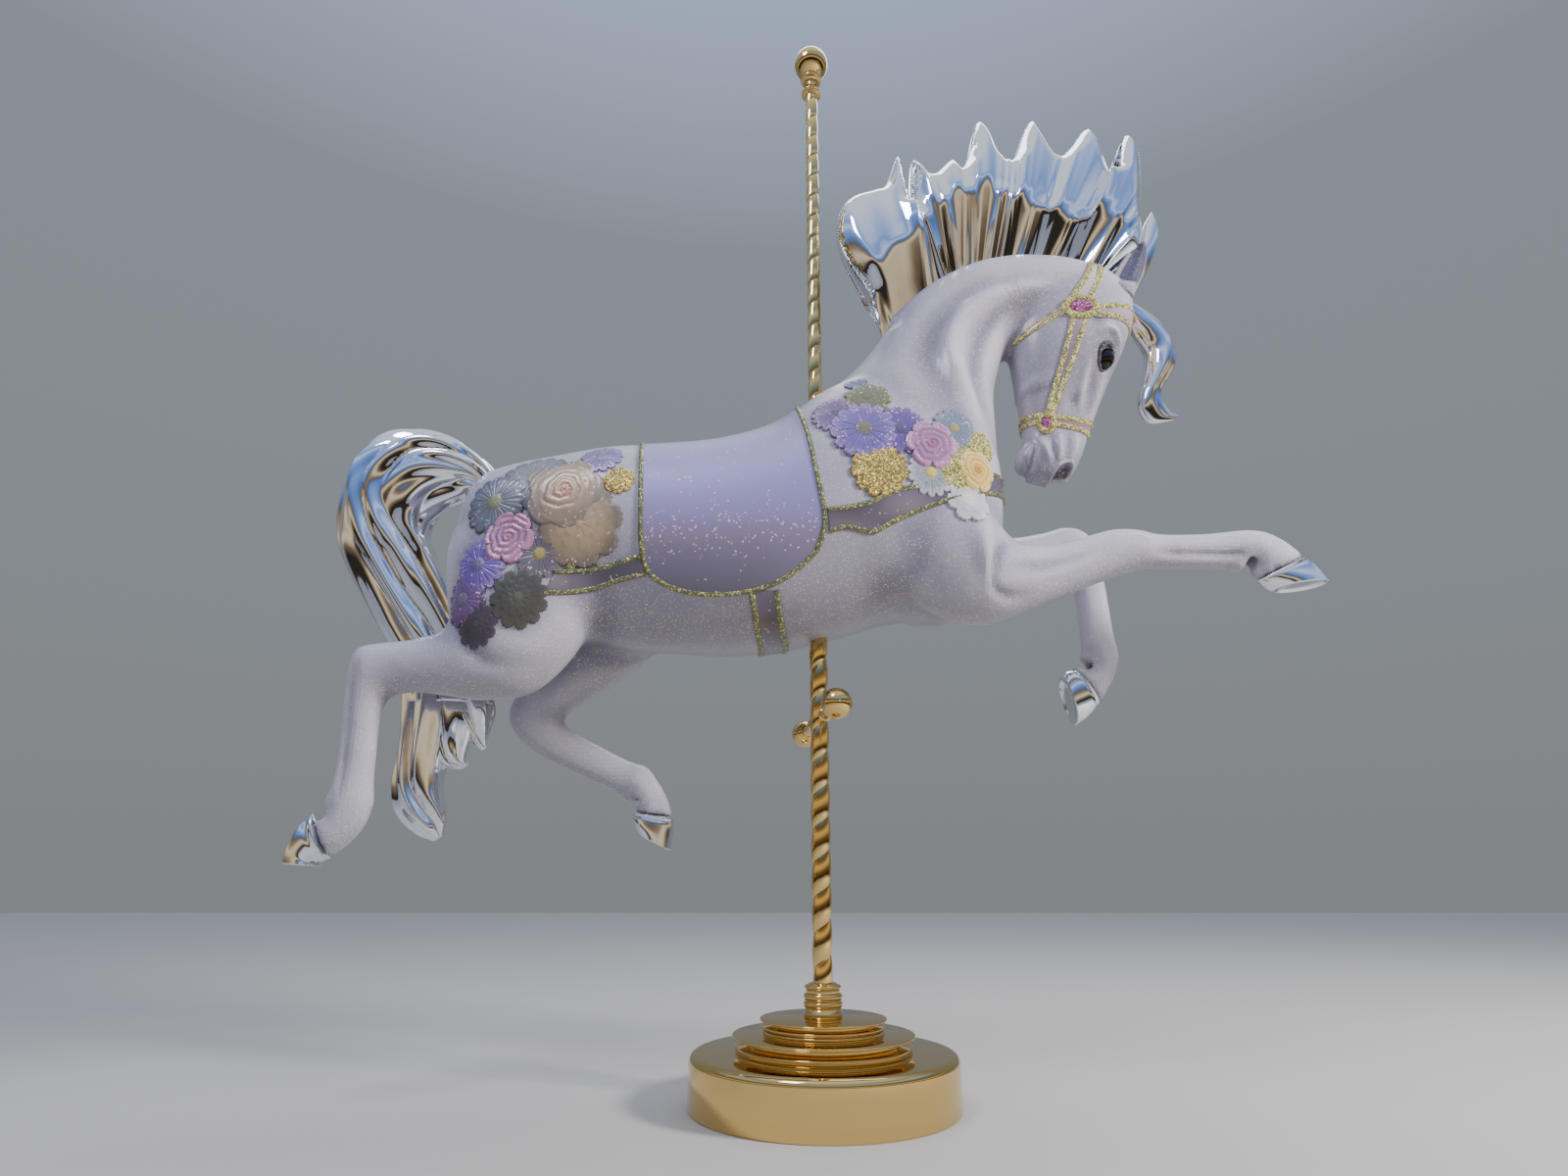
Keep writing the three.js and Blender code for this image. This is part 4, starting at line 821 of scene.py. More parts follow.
def push(thing, table, rows, side):
    """Moves the rear of a leg in or out at each row's station, by its height times a bell."""
    for (_, half, rise), rib in zip(rows, smooth_rows(table, [row[0] for row in rows])):
        points, normals = points_of(thing), normals_of(thing)
        rear = (rib[2:4] - rib[:2]) / np.linalg.norm(rib[2:4] - rib[:2])
        faced = held((normals[:, [0, 2]] @ rear) * 1.6 - 0.2) * (points[:, 1] * side > 0)
        away = np.linalg.norm(points[:, [0, 2]] - rib[2:4], axis=1)
        points[:, [0, 2]] += rear * (rise * bell(away, half) * faced)[:, None]
        place_points(thing, points)


for table, rows, side in [
    (RIGHT_FORE, "fore", -1), (LEFT_FORE, "fore", 1), (RIGHT_HIND, "hind", -1), (LEFT_HIND, "hind", 1),
]:
    carve(horse, leg_route(table, TENDON_ROWS[rows], TENDON_SHARE), side)
    if rows == "fore":
        carve(horse, leg_route(table, FOREARM_ROWS, FOREARM_SHARE), side)
    x, z = table[FETLOCK_STATION][2:4]
    skin = points_of(horse)
    cut_finer(horse, near(skin, x, z, FETLOCK_REACH) & (skin[:, 1] * side > 0))
    push(horse, table, FETLOCK_ROWS, side)
print(len(horse.data.vertices), "points with the fetlocks")

# %% [markdown]
# # Nostrils
# The nostrils are drilled and then opened with a gouge, which leaves a flared lip round each. The depth
# follows an oval that leans back, seen from the side, and the mouth below is rubbed smooth again.

# %% Nostrils
NOSTRIL = [540, 1228, 24, 13, 36]  # x, z, half length, half width, tilt in degrees
NOSTRIL_DEPTH = 13
NOSTRIL_LIP = 3.2  # how far the lip stands out
MUZZLE = [480, 1190, 1270, 8]  # ahead of this x, between these heights, and this far off the middle
MOUTH = [505, 1212, 45]  # x, z and reach


def nostril_shape(points):
    """How deep inside the nostril's oval a point is: 1 at its middle, 0 on its edge, less outside."""
    x, z, long_half, short_half, tilt = NOSTRIL
    c, s = np.cos(np.radians(tilt)), np.sin(np.radians(tilt))
    a, b = points[:, 0] - x, points[:, 2] - z
    return 1 - np.hypot((a * c + b * s) / long_half, (b * c - a * s) / short_half)


skin = points_of(horse)
inside = nostril_shape(skin)
rear, low, high, middle = MUZZLE
on_muzzle = (skin[:, 0] > rear) & (skin[:, 2] < high) & (skin[:, 2] > low) & (np.abs(skin[:, 1]) > middle)
sunk = held(inside * 2.4) ** 0.8 * NOSTRIL_DEPTH
sunk = sunk - NOSTRIL_LIP * bell(inside + 0.14, 0.2)
skin -= normals_of(horse) * (sunk * on_muzzle)[:, None]
place_points(horse, skin)
rub(horse, 12, 0.6 * near(skin, *MOUTH) * (inside < -0.5))
rub(horse, 2, 0.35)
print("nostrils", NOSTRIL_DEPTH, "mm deep")

# %% [markdown]
# # The enamel's tint
# The enamel is darker in the grooves, as painted shade, and lighter over the ridges, as painted highlight.
# How far a point lies below its wider surroundings tells which is which. Skin that faces down gets painted
# shade, which gives the form more depth, and the hollow round the eye and the nostrils are darkened with
# painted shade.

# %% Tint of the horse
# the enamel's own colour, then its painted shade for the grooves and its painted highlight for the ridges
ENAMEL = "#9996A6"
ENAMEL_PAINTED_SHADE = "#7E7A8B"
ENAMEL_PAINTED_HIGHLIGHT = "#BCB9C5"
HOLLOW_RANGE = [-3.5, 0.3, 4.5]  # millimetres below the surroundings: a ridge, plain skin and a hollow
HOLLOW_ROUNDS = 24  # rounds of smoothing that give the surroundings
UNDER_SHADE = 0.4  # share of the light that painted shade takes from skin that faces down
EYE_SHADE = [651, 1495, 23, 0.8, "#4E4A57"]  # x, z, reach, share and colour of the shading round the eye
NOSTRIL_SHADE = "#3A3640"


def hollowness(thing, rounds):
    """How far a point lies below the smoothed skin, along its normal, in millimetres."""
    both, count = neighbours(thing)
    start = points_of(thing)
    points = start
    for _ in range(rounds):
        points = mean_of_neighbours(points, both, count)
    return np.einsum("ij,ij->i", points - start, normals_of(thing))


def mixed(tints, hex_colour, share):
    """Tints drawn towards a colour, by each point's share of it."""
    return tints * (1 - share) + np.array(linear(hex_colour)) * share


skin = points_of(horse)
# painted shade in the grooves and painted highlight on the ridges
tints = between(hollowness(horse, HOLLOW_ROUNDS), HOLLOW_RANGE, [ENAMEL_PAINTED_HIGHLIGHT, ENAMEL, ENAMEL_PAINTED_SHADE])
# painted shade on skin that faces down
under = held(-normals_of(horse)[:, 2:]) ** 0.8
tints[:, :3] *= 1 - UNDER_SHADE * under
# painted shade in the hollow round the eye
x, z, reach, most, colour = EYE_SHADE
shade = most * bell(np.hypot(skin[:, 0] - x, skin[:, 2] - z), reach)[:, None]
tints = mixed(tints, colour, shade)
# painted shade inside the nostrils
dark = (held((nostril_shape(skin) - 0.02) * 4) * on_muzzle)[:, None]
tints = mixed(tints, NOSTRIL_SHADE, dark)
tint_points(horse, tints)
dress(horse, "pearl_paint", "horse")

# %% [markdown]
# # Laying things on the horse
# Saddle, straps and flowers follow the body's skin. A flat or round net of points is held over the skin or
# inside it, and a Shrinkwrap modifier sends every point onto the skin: along one axis, along the net's own
# normals, or the shortest way. Blender does that for the whole net at once.

# %% Nets on the skin
SIDES = {"right": -1, "left": 1}  # the sign of Y on each side of the horse
BESIDE = 400.0  # millimetres from the middle plane to a flat net before it is laid


def laid(net, way="normal"):
    """The net's points on the horse's skin, sent there along Y, along the net's normals, or the nearest
    way."""
    probe = new_piece("probe", [(net.reshape(-1, 3), [grid_faces(*net.shape[:2])])])
    faced = np.cross(np.gradient(net, axis=1), np.gradient(net, axis=0))
    outwards = bool(np.einsum("ijk,ijk->", faced, net - net.mean((0, 1))) > 0)
    wrap = probe.modifiers.new("Lay on", "SHRINKWRAP")
    wrap.target = horse
    wrap.wrap_method = "NEAREST_SURFACEPOINT" if way == "nearest" else "PROJECT"
    if way != "nearest":
        wrap.use_project_y = way == "Y"
        wrap.use_positive_direction = way == "Y" or outwards
        wrap.use_negative_direction = way == "Y" or not outwards
    settle(probe)
    found = points_of(probe).reshape(net.shape)
    bpy.data.objects.remove(probe)
    return found


def unit(vectors):
    """The vectors at length 1."""
    return vectors / np.maximum(np.linalg.norm(vectors, axis=-1, keepdims=True), 1e-9)


def facing(net):
    """The way a laid net faces: the cross product of the steps along its two directions, away from the
    middle plane of the horse."""
    out = unit(np.cross(np.gradient(net, axis=0), np.gradient(net, axis=1)))
    heart = net.mean((0, 1)) * (1, 0, 1)
    return out * np.sign(np.einsum("ijk,ijk->", out, net - heart))


def flank(upper, lower, count, across, side):
    """A net held beside the horse between two routes of [x, z]."""
    upper, lower = along(upper, count)[:, None], along(lower, count)[:, None]
    share = np.linspace(0, 1, across)[None, :, None]
    flat = upper * (1 - share) + lower * share
    return np.stack([flat[..., 0], np.full(flat.shape[:2], side * BESIDE), flat[..., 1]], -1)


def core_net(centre, ahead, axis, rows, across, radius=30.0):
    """A net on a small round core inside the body. Each row has an angle, counted from the horse's right
    towards the way ahead, and where the net starts and ends along the axis."""
    angles, low, high = rows[:, :3].T
    angles = np.radians(angles)[:, None, None]
    share = np.linspace(0, 1, across)[None, :, None]
    spoke = np.sin(angles) * np.array(ahead) - np.cos(angles) * np.array([0.0, 1.0, 0.0])
    level = low[:, None, None] * (1 - share) + high[:, None, None] * share
    return np.array(centre) + radius * spoke + level * np.array(axis)


def seat(x, z, side, reach):
    """The place on the flank at [x, z], with the directions along the skin, up the skin, and off it."""
    lower, upper = ([[x - reach, level], [x + reach, level]] for level in (z - reach, z + reach))
    patch = laid(flank(lower, upper, 5, 5, side), "Y")
    out = unit(facing(patch).mean((0, 1)))
    along_skin = unit(np.cross(out, (0.0, 0.0, 1.0)))
    return patch[2, 2], along_skin, np.cross(along_skin, out), out


def round_net(place, right, up, rho, angle, across, high):
    """A round net of the given half sizes in the plane of a seat, then laid on the horse."""
    flat = (across * rho * np.cos(angle))[..., None] * right + (high * rho * np.sin(angle))[..., None] * up
    return laid(place + flat, "nearest")


print("The skin under the saddle's middle lies at", seat(-200, 1150, -1, 5)[0].round(), "mm")

# %% [markdown]
# # Slabs and cords
# The trappings of a wooden horse are carved in relief, as thick as leather and cord. A strap could be a
# surface with a Solidify modifier. Here both its sides are known at once, the laid net raised and the same
# net sunk into the wood, so the closed slab is written down directly. A cord is an oval carried along a path
# on the skin, half sunk in it.

# %% Slabs and cords
SUNK = 2.0  # millimetres that a slab reaches into the wood
CORD_HEIGHT = 5.4


def slab(net, out, top):
    """A closed sheet of leather on the skin: its upper side the net raised by top, its lower side sunk."""
    upper = net + out * np.asarray(top)[..., None]
    lower = (net - out * SUNK)[:, ::-1]
    return tube(np.concatenate((upper, lower), 1))


def cord(path, out, wide, high, closed=False, sides=10):
    """A half-round cord: an ellipse of the given half width and height round each point of the path, its
    high axis the way the skin faces. Both may change along the path."""
    ahead = np.roll(path, -1, 0) - np.roll(path, 1, 0) if closed else np.gradient(path, axis=0)
    across = unit(np.cross(ahead, out))
    angle = turn(sides)[:, None]
    wide, high = np.reshape(wide, (-1, 1, 1)), np.reshape(high, (-1, 1, 1))
    rings = path[:, None] + wide * np.cos(angle) * across[:, None] + high * np.sin(angle) * out[:, None]
    return hoop(rings) if closed else tube(rings)


def edged(net, top, wide, high=CORD_HEIGHT):
    """A strap: the slab of a laid net, and a cord just inside each of its long edges. Wide is the half width
    of the two cords."""
    out = facing(net)
    inward = unit(net[:, -1] - net[:, 0])
    cords = [
        cord(net[:, 0] + wide[0] * inward, out[:, 0], wide[0], high),
        cord(net[:, -1] - wide[1] * inward, out[:, -1], wide[1], high),
    ]
    return slab(net, out, top), cords


print("Slabs sink", SUNK, "mm into the wood, and cords stand", CORD_HEIGHT, "mm above the skin")

# %% [markdown]
# # Eyes, eyelids and ears
# The eyes are glass, set into the sockets and framed by the carved lids: two thick folds that meet at the
# inner corner, low and towards the nose. The ears are leaves, rolled into a cup that opens to the side: the
# outer face of each ring of the ear is folded inwards to make the hollow.
# The hollow of each ear is painted darker the deeper it lies, and the lids darkest: painted shade.

# %% Eyes, eyelids and ears
EYE = [654, 60, 1498]
EYE_HALVES = [20.0, 15.5, 28.0]
EYE_LEAN = 14  # degrees that the eye's upper end leans forward
LID = [  # x, z and thickness, from the inner corner over the top and back below
    [642, 1468, 2.4], [637, 1486, 3.2], [638, 1506, 4.4], [645, 1521, 5.4], [657, 1527, 5.8],
    [668, 1522, 5.2], [673, 1508, 4.2], [670, 1493, 3.6], [660, 1479, 3.4], [649, 1468, 2.8],
]
LID_PLACES = 90
LID_BESIDE = 200.0  # from the middle plane to the lid's route before it is laid
LID_RISE = 2.2  # from the skin to the middle of the fold
LID_HEIGHT = 0.9  # of its thickness
LID_SHADE_DEPTH = 2.0  # the lids take the last and darkest tint below, as painted shade round the eye
EAR_TURN = 0.5  # how far the hollow of the ear is turned to the rear
EAR_TINT_DEPTHS = [0, 0.2, 0.8, 1.0, 1.5]
EAR_SHADE_TINTS = [ENAMEL, ENAMEL, "#6A6880", "#6A6880", "#4F4B58"]


def egg(centre, halves, lean, rows=28, around=44):
    """An ellipsoid with given half axes, its upright axis leaning forward in the side view."""
    a, b = np.linspace(0, np.pi, rows + 2)[1:-1, None], turn(around)[None, :]
    x, y, z = (half * part for half, part in zip(halves, np.broadcast_arrays(
        np.sin(a) * np.cos(b), np.sin(a) * np.sin(b), np.cos(a))))
    c, s = np.cos(np.radians(lean)), np.sin(np.radians(lean))
    return tube(np.stack([x * c + z * s, y, z * c - x * s], -1) + np.array(centre))


def leaf(table, side, steps=12, around=56):
    """An ear: the inner half of each ring is round, and the outer half is drawn in towards it. The hollow
    opens from 8% of the ear's length up and closes over its last 12%. Returns the closed skin, and for each
    of its points how deep it lies in the hollow."""
    ribs = along(table, steps * (len(table) - 1) + 1)
    angle = turn(around)
    rings = rib_points(ribs, angle)
    t = np.linspace(0, 1, len(ribs))[:, None]
    open_share = held((t - 0.08) / 0.22) ** 1.5 * held((1 - t) / 0.12)
    outer = held(-np.sin(angle + EAR_TURN)) ** 0.7
    rings[..., 1] += ribs[:, None, 5] * 1.7 * open_share * outer
    rings[..., 1] -= ribs[:, None, 5] * 0.35 * open_share * np.abs(np.cos(angle)) ** 3
    rings[..., 1] *= -side
    depth = (open_share * outer * np.ones_like(angle)).ravel()
    return tube(rings), np.append(depth, (0, 0))


for name, side in SIDES.items():
    x, y, z = EYE
    glass = new_piece("eye_" + name + "_glass", [egg((x, side * y, z), EYE_HALVES, EYE_LEAN)], [eye_glass])
    dress(glass, "eye_glass", "eye_" + name)
    lid = along(LID + LID[:1], LID_PLACES + 1)[:-1]
    rim = np.stack([lid[:, 0], np.full(LID_PLACES, side * LID_BESIDE), lid[:, 1]], -1)
    rim = laid(rim[:, None].repeat(2, 1), "Y")[:, 0] + (0, side * LID_RISE, 0)
    sideways = np.tile([0.0, side, 0.0], (LID_PLACES, 1))
    fold = cord(rim, sideways, lid[:, 2], LID_HEIGHT * lid[:, 2], closed=True, sides=14)
    ear, depth = leaf(EAR, side)
    face = new_piece("ear_and_lids_" + name, [ear, fold], [pearl])
    depth = np.append(depth, np.full(len(fold[0]), LID_SHADE_DEPTH))
    # painted shade: darker the deeper in the ear's hollow, darkest on the lids
    tint_points(face, between(depth, EAR_TINT_DEPTHS, EAR_SHADE_TINTS))
    dress(face, "pearl_paint")

# %% [markdown]
# # The mane
# The mane is one chromed casting. It springs from the crest, flares out as a fan of hollow flutes with sharp
# edges between them, and above a scalloped fold it leans back in and runs out in flame-shaped tips. It could
# be joined from locks, but a mirror shows every joint. So it is one ruled surface: straight lines lead from
# places on the crest to places on the outline of the tips.

# %% Lines of the mane
# Crest x and z, outline x and z, and the count of flutes so far.
MANE_LINES = [
    [154, 1613, 136, 1699, 0.0], [159, 1624, 96, 1772, 0.0], [163, 1632, 67, 1840, 0.0],
    [169, 1642, 58, 1896, 0.0], [174, 1654, 69, 1952, 0.0], [183, 1664, 102, 1991, 0.2],
    [211, 1693, 152, 2008, 0.5], [237, 1719, 183, 2030, 0.7], [257, 1736, 216, 2119, 0.9],
    [280, 1750, 229, 2046, 1.2], [308, 1765, 240, 1963, 2.0], [317, 1771, 245, 2046, 2.2],
    [324, 1775, 253, 2106, 2.4], [334, 1782, 277, 2074, 2.7], [343, 1787, 300, 2058, 3.0],
    [354, 1789, 324, 2079, 3.3], [362, 1792, 354, 2104, 3.6], [376, 1794, 375, 2079, 3.9],
    [383, 1795, 396, 2127, 4.0], [390, 1797, 423, 2224, 4.2], [410, 1802, 454, 2189, 4.6],
    [427, 1807, 479, 2120, 5.0], [454, 1809, 509, 2111, 6.0], [474, 1809, 536, 2181, 6.5],
    [485, 1809, 564, 2229, 6.7], [499, 1809, 589, 2180, 6.9], [513, 1806, 619, 2120, 7.0],
    [535, 1801, 654, 2142, 7.4], [554, 1798, 698, 2200, 7.7], [576, 1797, 728, 2165, 7.9],
    [592, 1794, 742, 2101, 8.0], [608, 1790, 755, 2069, 8.25], [624, 1783, 786, 2157, 8.5],
    [635, 1779, 802, 2181, 8.65], [648, 1770, 827, 2135, 8.85], [658, 1763, 821, 2039, 9.0],
    [670, 1755, 810, 1952, 9.5], [678, 1747, 805, 1875, 10.0], [688, 1736, 785, 1799, 10.0],
]
print(len(MANE_LINES), "lines")

# %% [markdown]
# # The mane's surface
# The half thickness along a line is the smaller of two slopes: one flares out from the crest with the flutes
# in it, and one leans in above the fold. Where the two meet they draw the scallops by themselves. Towards
# the outline the thickness closes in a quarter circle, and the second side mirrors the first.

# %% Surface of the mane
FOLD_COUNTS = [0.0, 1.2, 2.0, 3.0, 4.0, 5.0, 6.0, 7.0, 8.0, 9.0, 10.0]
FOLD_HEIGHTS = [112, 122, 130, 156, 174, 158, 146, 116, 92, 150, 112]  # above the crest, at the sharp edges
FLUTE_DEPTHS = [0, 4, 12, 20, 22, 22, 19, 22, 22, 20, 12]
FOLD_RADIUS = 4.0
MANE_ROOT = 30  # how deep each line starts inside the neck
MANE_FOOT = 26  # half thickness at the crest
MANE_FOLD = 70  # half thickness at the fold
MANE_LEAN = 0.06  # share of its thickness that the upper part loses evenly up to the outline
MANE_BOW = 0.26  # and the share that it loses in a curve, more and more
MANE_RIPPLE = 2.2  # half depth of two waves across each flute above the fold
HOLLOW_CLOSE = 0.6  # share of its depth that a hollow loses up to its fold
TIP_SWELL = 6  # how far a tip stands out from the gaps beside it
TIP_STAND = 45  # millimetres above the mean outline where a tip's swelling is full
TIP_START = 40  # millimetres above the fold where it is full
TIP_LINES = 30  # lines to each side that the mean outline is taken over
MANE_ROUNDING = 40  # from the outline in, where the edge is rounded
CREST_WEIGHT = 0.4  # what a step along the crest counts for against one along the outline
LINES_FINE = 4000
LINES_ACROSS, POINTS_UP = 560, 60


def soft_min(a, b, radius):
    """The smaller of two values, with the corner between them rounded."""
    near_both = held(0.5 + (b - a) / (2 * radius))
    return b + (a - b) * near_both - radius * near_both * (1 - near_both)


fine = along(MANE_LINES, LINES_FINE)
steps = np.hypot(*np.diff(fine[:, 2:4], axis=0).T) + CREST_WEIGHT * np.hypot(*np.diff(fine[:, :2], axis=0).T)
walked = np.concatenate(([0], np.cumsum(steps)))
at_fine = np.linspace(0, len(MANE_LINES) - 1, LINES_FINE)
places = np.interp(np.linspace(0, walked[-1], LINES_ACROSS), walked, at_fine)
lines = smooth_rows(MANE_LINES, places)
flute = np.interp(places, np.arange(len(MANE_LINES)), np.array(MANE_LINES)[:, 4])
crest, tip = lines[:, None, :2], lines[:, None, 2:4]
length = np.linalg.norm(tip - crest, axis=-1)
direction = (tip - crest) / length[..., None]
share = 1 - (1 - np.linspace(0, 1, POINTS_UP)) ** 1.6
height = share * (length + MANE_ROOT) - MANE_ROOT
flat = crest + direction * height[..., None]
edge = np.concatenate((flat[0], lines[:, 2:4], flat[-1]))
from_edge = np.hypot(*(flat[:, :, None, :] - edge[None, None, ::2, :]).transpose(3, 0, 1, 2)).min(-1)
rounding = np.sqrt(held(1 - (1 - held(from_edge / MANE_ROUNDING)) ** 2))
rounding[:, -1] = rounding[0] = rounding[-1] = 0
fold = np.interp(flute, FOLD_COUNTS, FOLD_HEIGHTS)[:, None]
depth = np.interp(flute, FOLD_COUNTS, FLUTE_DEPTHS)[:, None]
hollow = held(1.3 * np.abs(np.sin(np.pi * flute)) - 0.22)[:, None] ** 0.85
hollow = hollow * (1 - HOLLOW_CLOSE * np.clip(height / fold, 0, 1.6))
above = np.clip(height - fold, 0, None)
upper = above / np.clip(length - fold, 50, None)
flare = MANE_FOOT + (MANE_FOLD - MANE_FOOT) * height / fold - depth * hollow
window = np.ones(2 * TIP_LINES + 1) / (2 * TIP_LINES + 1)
stand_out = lines[:, 3] - np.convolve(np.pad(lines[:, 3], TIP_LINES, "edge"), window, "valid")
swell = TIP_SWELL * np.clip(stand_out / TIP_STAND, -1, 1)[:, None] * held(above / TIP_START)
lean = MANE_FOLD * (1 - MANE_LEAN * upper - MANE_BOW * upper ** 2)
lean = lean + swell + MANE_RIPPLE * (np.cos(4 * np.pi * flute)[:, None] - 1)
half = soft_min(flare, lean, FOLD_RADIUS) * rounding
right = np.stack([flat[..., 0], -half, flat[..., 1]], -1)
left = right[:, -2::-1] * (1, -1, 1)
mane_ring = np.concatenate((right, left), 1)
mane_skin = outward(mane_ring.reshape(-1, 3), [grid_faces(*mane_ring.shape[:2], round_columns=True)])
print(LINES_ACROSS, "by", POINTS_UP, "points on each side")

# %% [markdown]
# # The foremost lock, and no seams
# A last lock stands in front of the fan, as its own closed skin in the same casting. Along the mane's
# outline both sides meet, so points there fall together. They are welded, because an open seam would show
# as a black line in the mirror.

# %% Weld the mane
WELD_REACH = 0.00001  # metres


def weld(thing):
    """Joins points that lie in the same place, and drops faces that this leaves without an area."""
    mesh = bmesh.new()
    mesh.from_mesh(thing.data)
    bmesh.ops.remove_doubles(mesh, verts=mesh.verts, dist=WELD_REACH)
    bmesh.ops.dissolve_degenerate(mesh, edges=mesh.edges, dist=WELD_REACH)
    bmesh.ops.holes_fill(mesh, edges=[edge for edge in mesh.edges if edge.is_boundary], sides=0)
    mesh.to_mesh(thing.data)
    mesh.free()
    thing.data.update()


FRONT_LOCK = [
    [758, 1700, 690, 1745, 0, 26],
    [802, 1765, 748, 1800, 0, 26],
    [838, 1840, 796, 1860, 0, 21],
    [854, 1905, 818, 1915, 0, 13],
    [848, 1957, 842, 1956, 0, 3],
]
mane = new_piece("mane_chrome", [mane_skin, limb(FRONT_LOCK, around=40)], [chrome])
weld(mane)
dress(mane, "chrome", "mane")

# %% [markdown]
# # The tail and the forelock
# The tail arches up and back and falls in long strands that wind a little round it, and it parts into three
# hooked tips. Each strand is a rounded rib with a sharp valley beside it. The strands are cut into the ribs
# of a tube: the point is drawn towards the middle of its ring by a depth that depends on the angle round
# the ring plus a twist that grows along the tail, so the strands flow. The forelock is made the same way.

# %% Ribs of the tail and the forelock
TAIL = [
    [-690, 1215, -712, 1150, 0, 34],
    [-742, 1275, -752, 1186, 0, 44],
    [-818, 1328, -778, 1176, 0, 58],
    [-900, 1349, -808, 1160, 0, 66],
    [-972, 1336, -830, 1138, 0, 70],
    [-1030, 1282, -842, 1112, 0, 72],
    [-1056, 1205, -838, 1084, 4, 72],
    [-1054, 1120, -820, 1055, 8, 70],
    [-1028, 1040, -800, 1010, 12, 66],
    [-938, 896, -748, 908, 18, 53],
    [-875, 806, -702, 806, 20, 46],
    [-858, 725, -672, 725, 18, 46],
]
TAIL_TIPS = [
    [
        [-868, 790, -740, 790, 20, 42],
        [-858, 700, -748, 690, 18, 42],
        [-858, 620, -750, 610, 14, 40],
        [-856, 555, -745, 556, 10, 36],
        [-838, 505, -732, 520, 6, 30],
        [-795, 468, -730, 492, 2, 20],
        [-752, 452, -736, 464, 0, 6],
    ],
    [
        [-800, 790, -700, 790, 20, 42],
        [-790, 700, -700, 700, 20, 40],
        [-782, 640, -712, 640, 20, 30],
        [-760, 598, -716, 612, 20, 18],
        [-722, 592, -708, 602, 20, 5],
    ],
    [
        [-770, 790, -690, 780, 20, 40],
        [-752, 720, -668, 720, 22, 36],
        [-730, 672, -668, 680, 22, 24],
        [-702, 640, -676, 652, 22, 12],
        [-684, 630, -676, 636, 22, 4],
    ],
]
FORELOCK = [
    [748, 1690, 738, 1640, 0, 30],
    [790, 1662, 752, 1600, 0, 32],
    [828, 1628, 764, 1572, 0, 32],
    [850, 1578, 770, 1545, 0, 31],
    [848, 1528, 762, 1508, 0, 30],
    [824, 1484, 750, 1470, 0, 28],
    [802, 1450, 738, 1432, 0, 26],
    [802, 1420, 736, 1392, 0, 22],
    [816, 1396, 758, 1364, 0, 12],
    [830, 1386, 812, 1372, 0, 4],
]
print(len(TAIL), "ribs of the tail and", len(FORELOCK), "of the forelock")

# %% Cut the strands
def stranded(table, steps, around, strands, depth, twist, start=0.0):
    """A tube of ribs with strands cut into it. The depth at an angle is 1 minus the root of the sine of
    strands / 2 times the angle, where the angle first gets its twist, in turns over the whole length, and a
    slow wave that makes some strands wider. A second, finer set of strands winds the other way."""
    ribs = along(table, steps * (len(table) - 1) + 1)
    angle = turn(around)
    t = np.linspace(0, 1, len(ribs))[:, None]
    rings = rib_points(ribs, angle)
    wave = 0.22 * np.sin(2 * angle + 5 * t) + 0.1 * np.sin(5 * angle)
    wound = angle + 2 * np.pi * (twist * t + start) + wave
    broad = 1 - np.abs(np.sin(strands / 2 * wound)) ** 1.4
    slim = 1 - np.abs(np.sin(strands * (angle - np.pi * twist * t) + 1)) ** 1.5
    middle = rings.mean(1, keepdims=True)
    ray = rings - middle
    breadth = np.linalg.norm(ray, axis=-1, keepdims=True)
    taper = held(breadth[..., 0] / (4 * depth))
    cut = depth * taper * (broad + 0.2 * slim)
    return tube(rings - ray / breadth * cut[..., None])


tail_skins = [stranded(TAIL, 16, 160, strands=7, depth=15, twist=0.34)]
tail_skins += [
    stranded(tip, 14, 84, strands=5, depth=9, twist=0.14, start=0.1 * i) for i, tip in enumerate(TAIL_TIPS)
]
tail = new_piece("tail_chrome", tail_skins, [chrome])
dress(tail, "chrome", "tail")
forelock_skin = stranded(FORELOCK, 14, 84, strands=3, depth=9, twist=0.2)
forelock = new_piece("forelock_chrome", [forelock_skin], [chrome])
dress(forelock, "chrome", "forelock")

# %% [markdown]
# # The twisted pole
# A carousel pole is a steel pipe in a sleeve of brass that was rolled with one long rib, so the rib climbs
# as a single helix and shows as slanting pillows with a sharp groove between them. The grid follows the
# helix: one parameter runs across the rib and up from turn to turn, the other round the pole, and the seam
# of each turn falls on the start of the next one.

# %% Poles
TWIST_PITCH = 63.0
BELLY = 852
STAND_TOP = 201
POLE_TOP = 2336
POLE_COVER = 60  # how far the lower pole reaches up into the belly
POLE_DIP = 6  # and down into the collar
UPPER_START = 1370  # inside the withers
LOWER_POLE = [19, 3.4]  # radius and depth of the groove
UPPER_POLE = [16, 2.2]


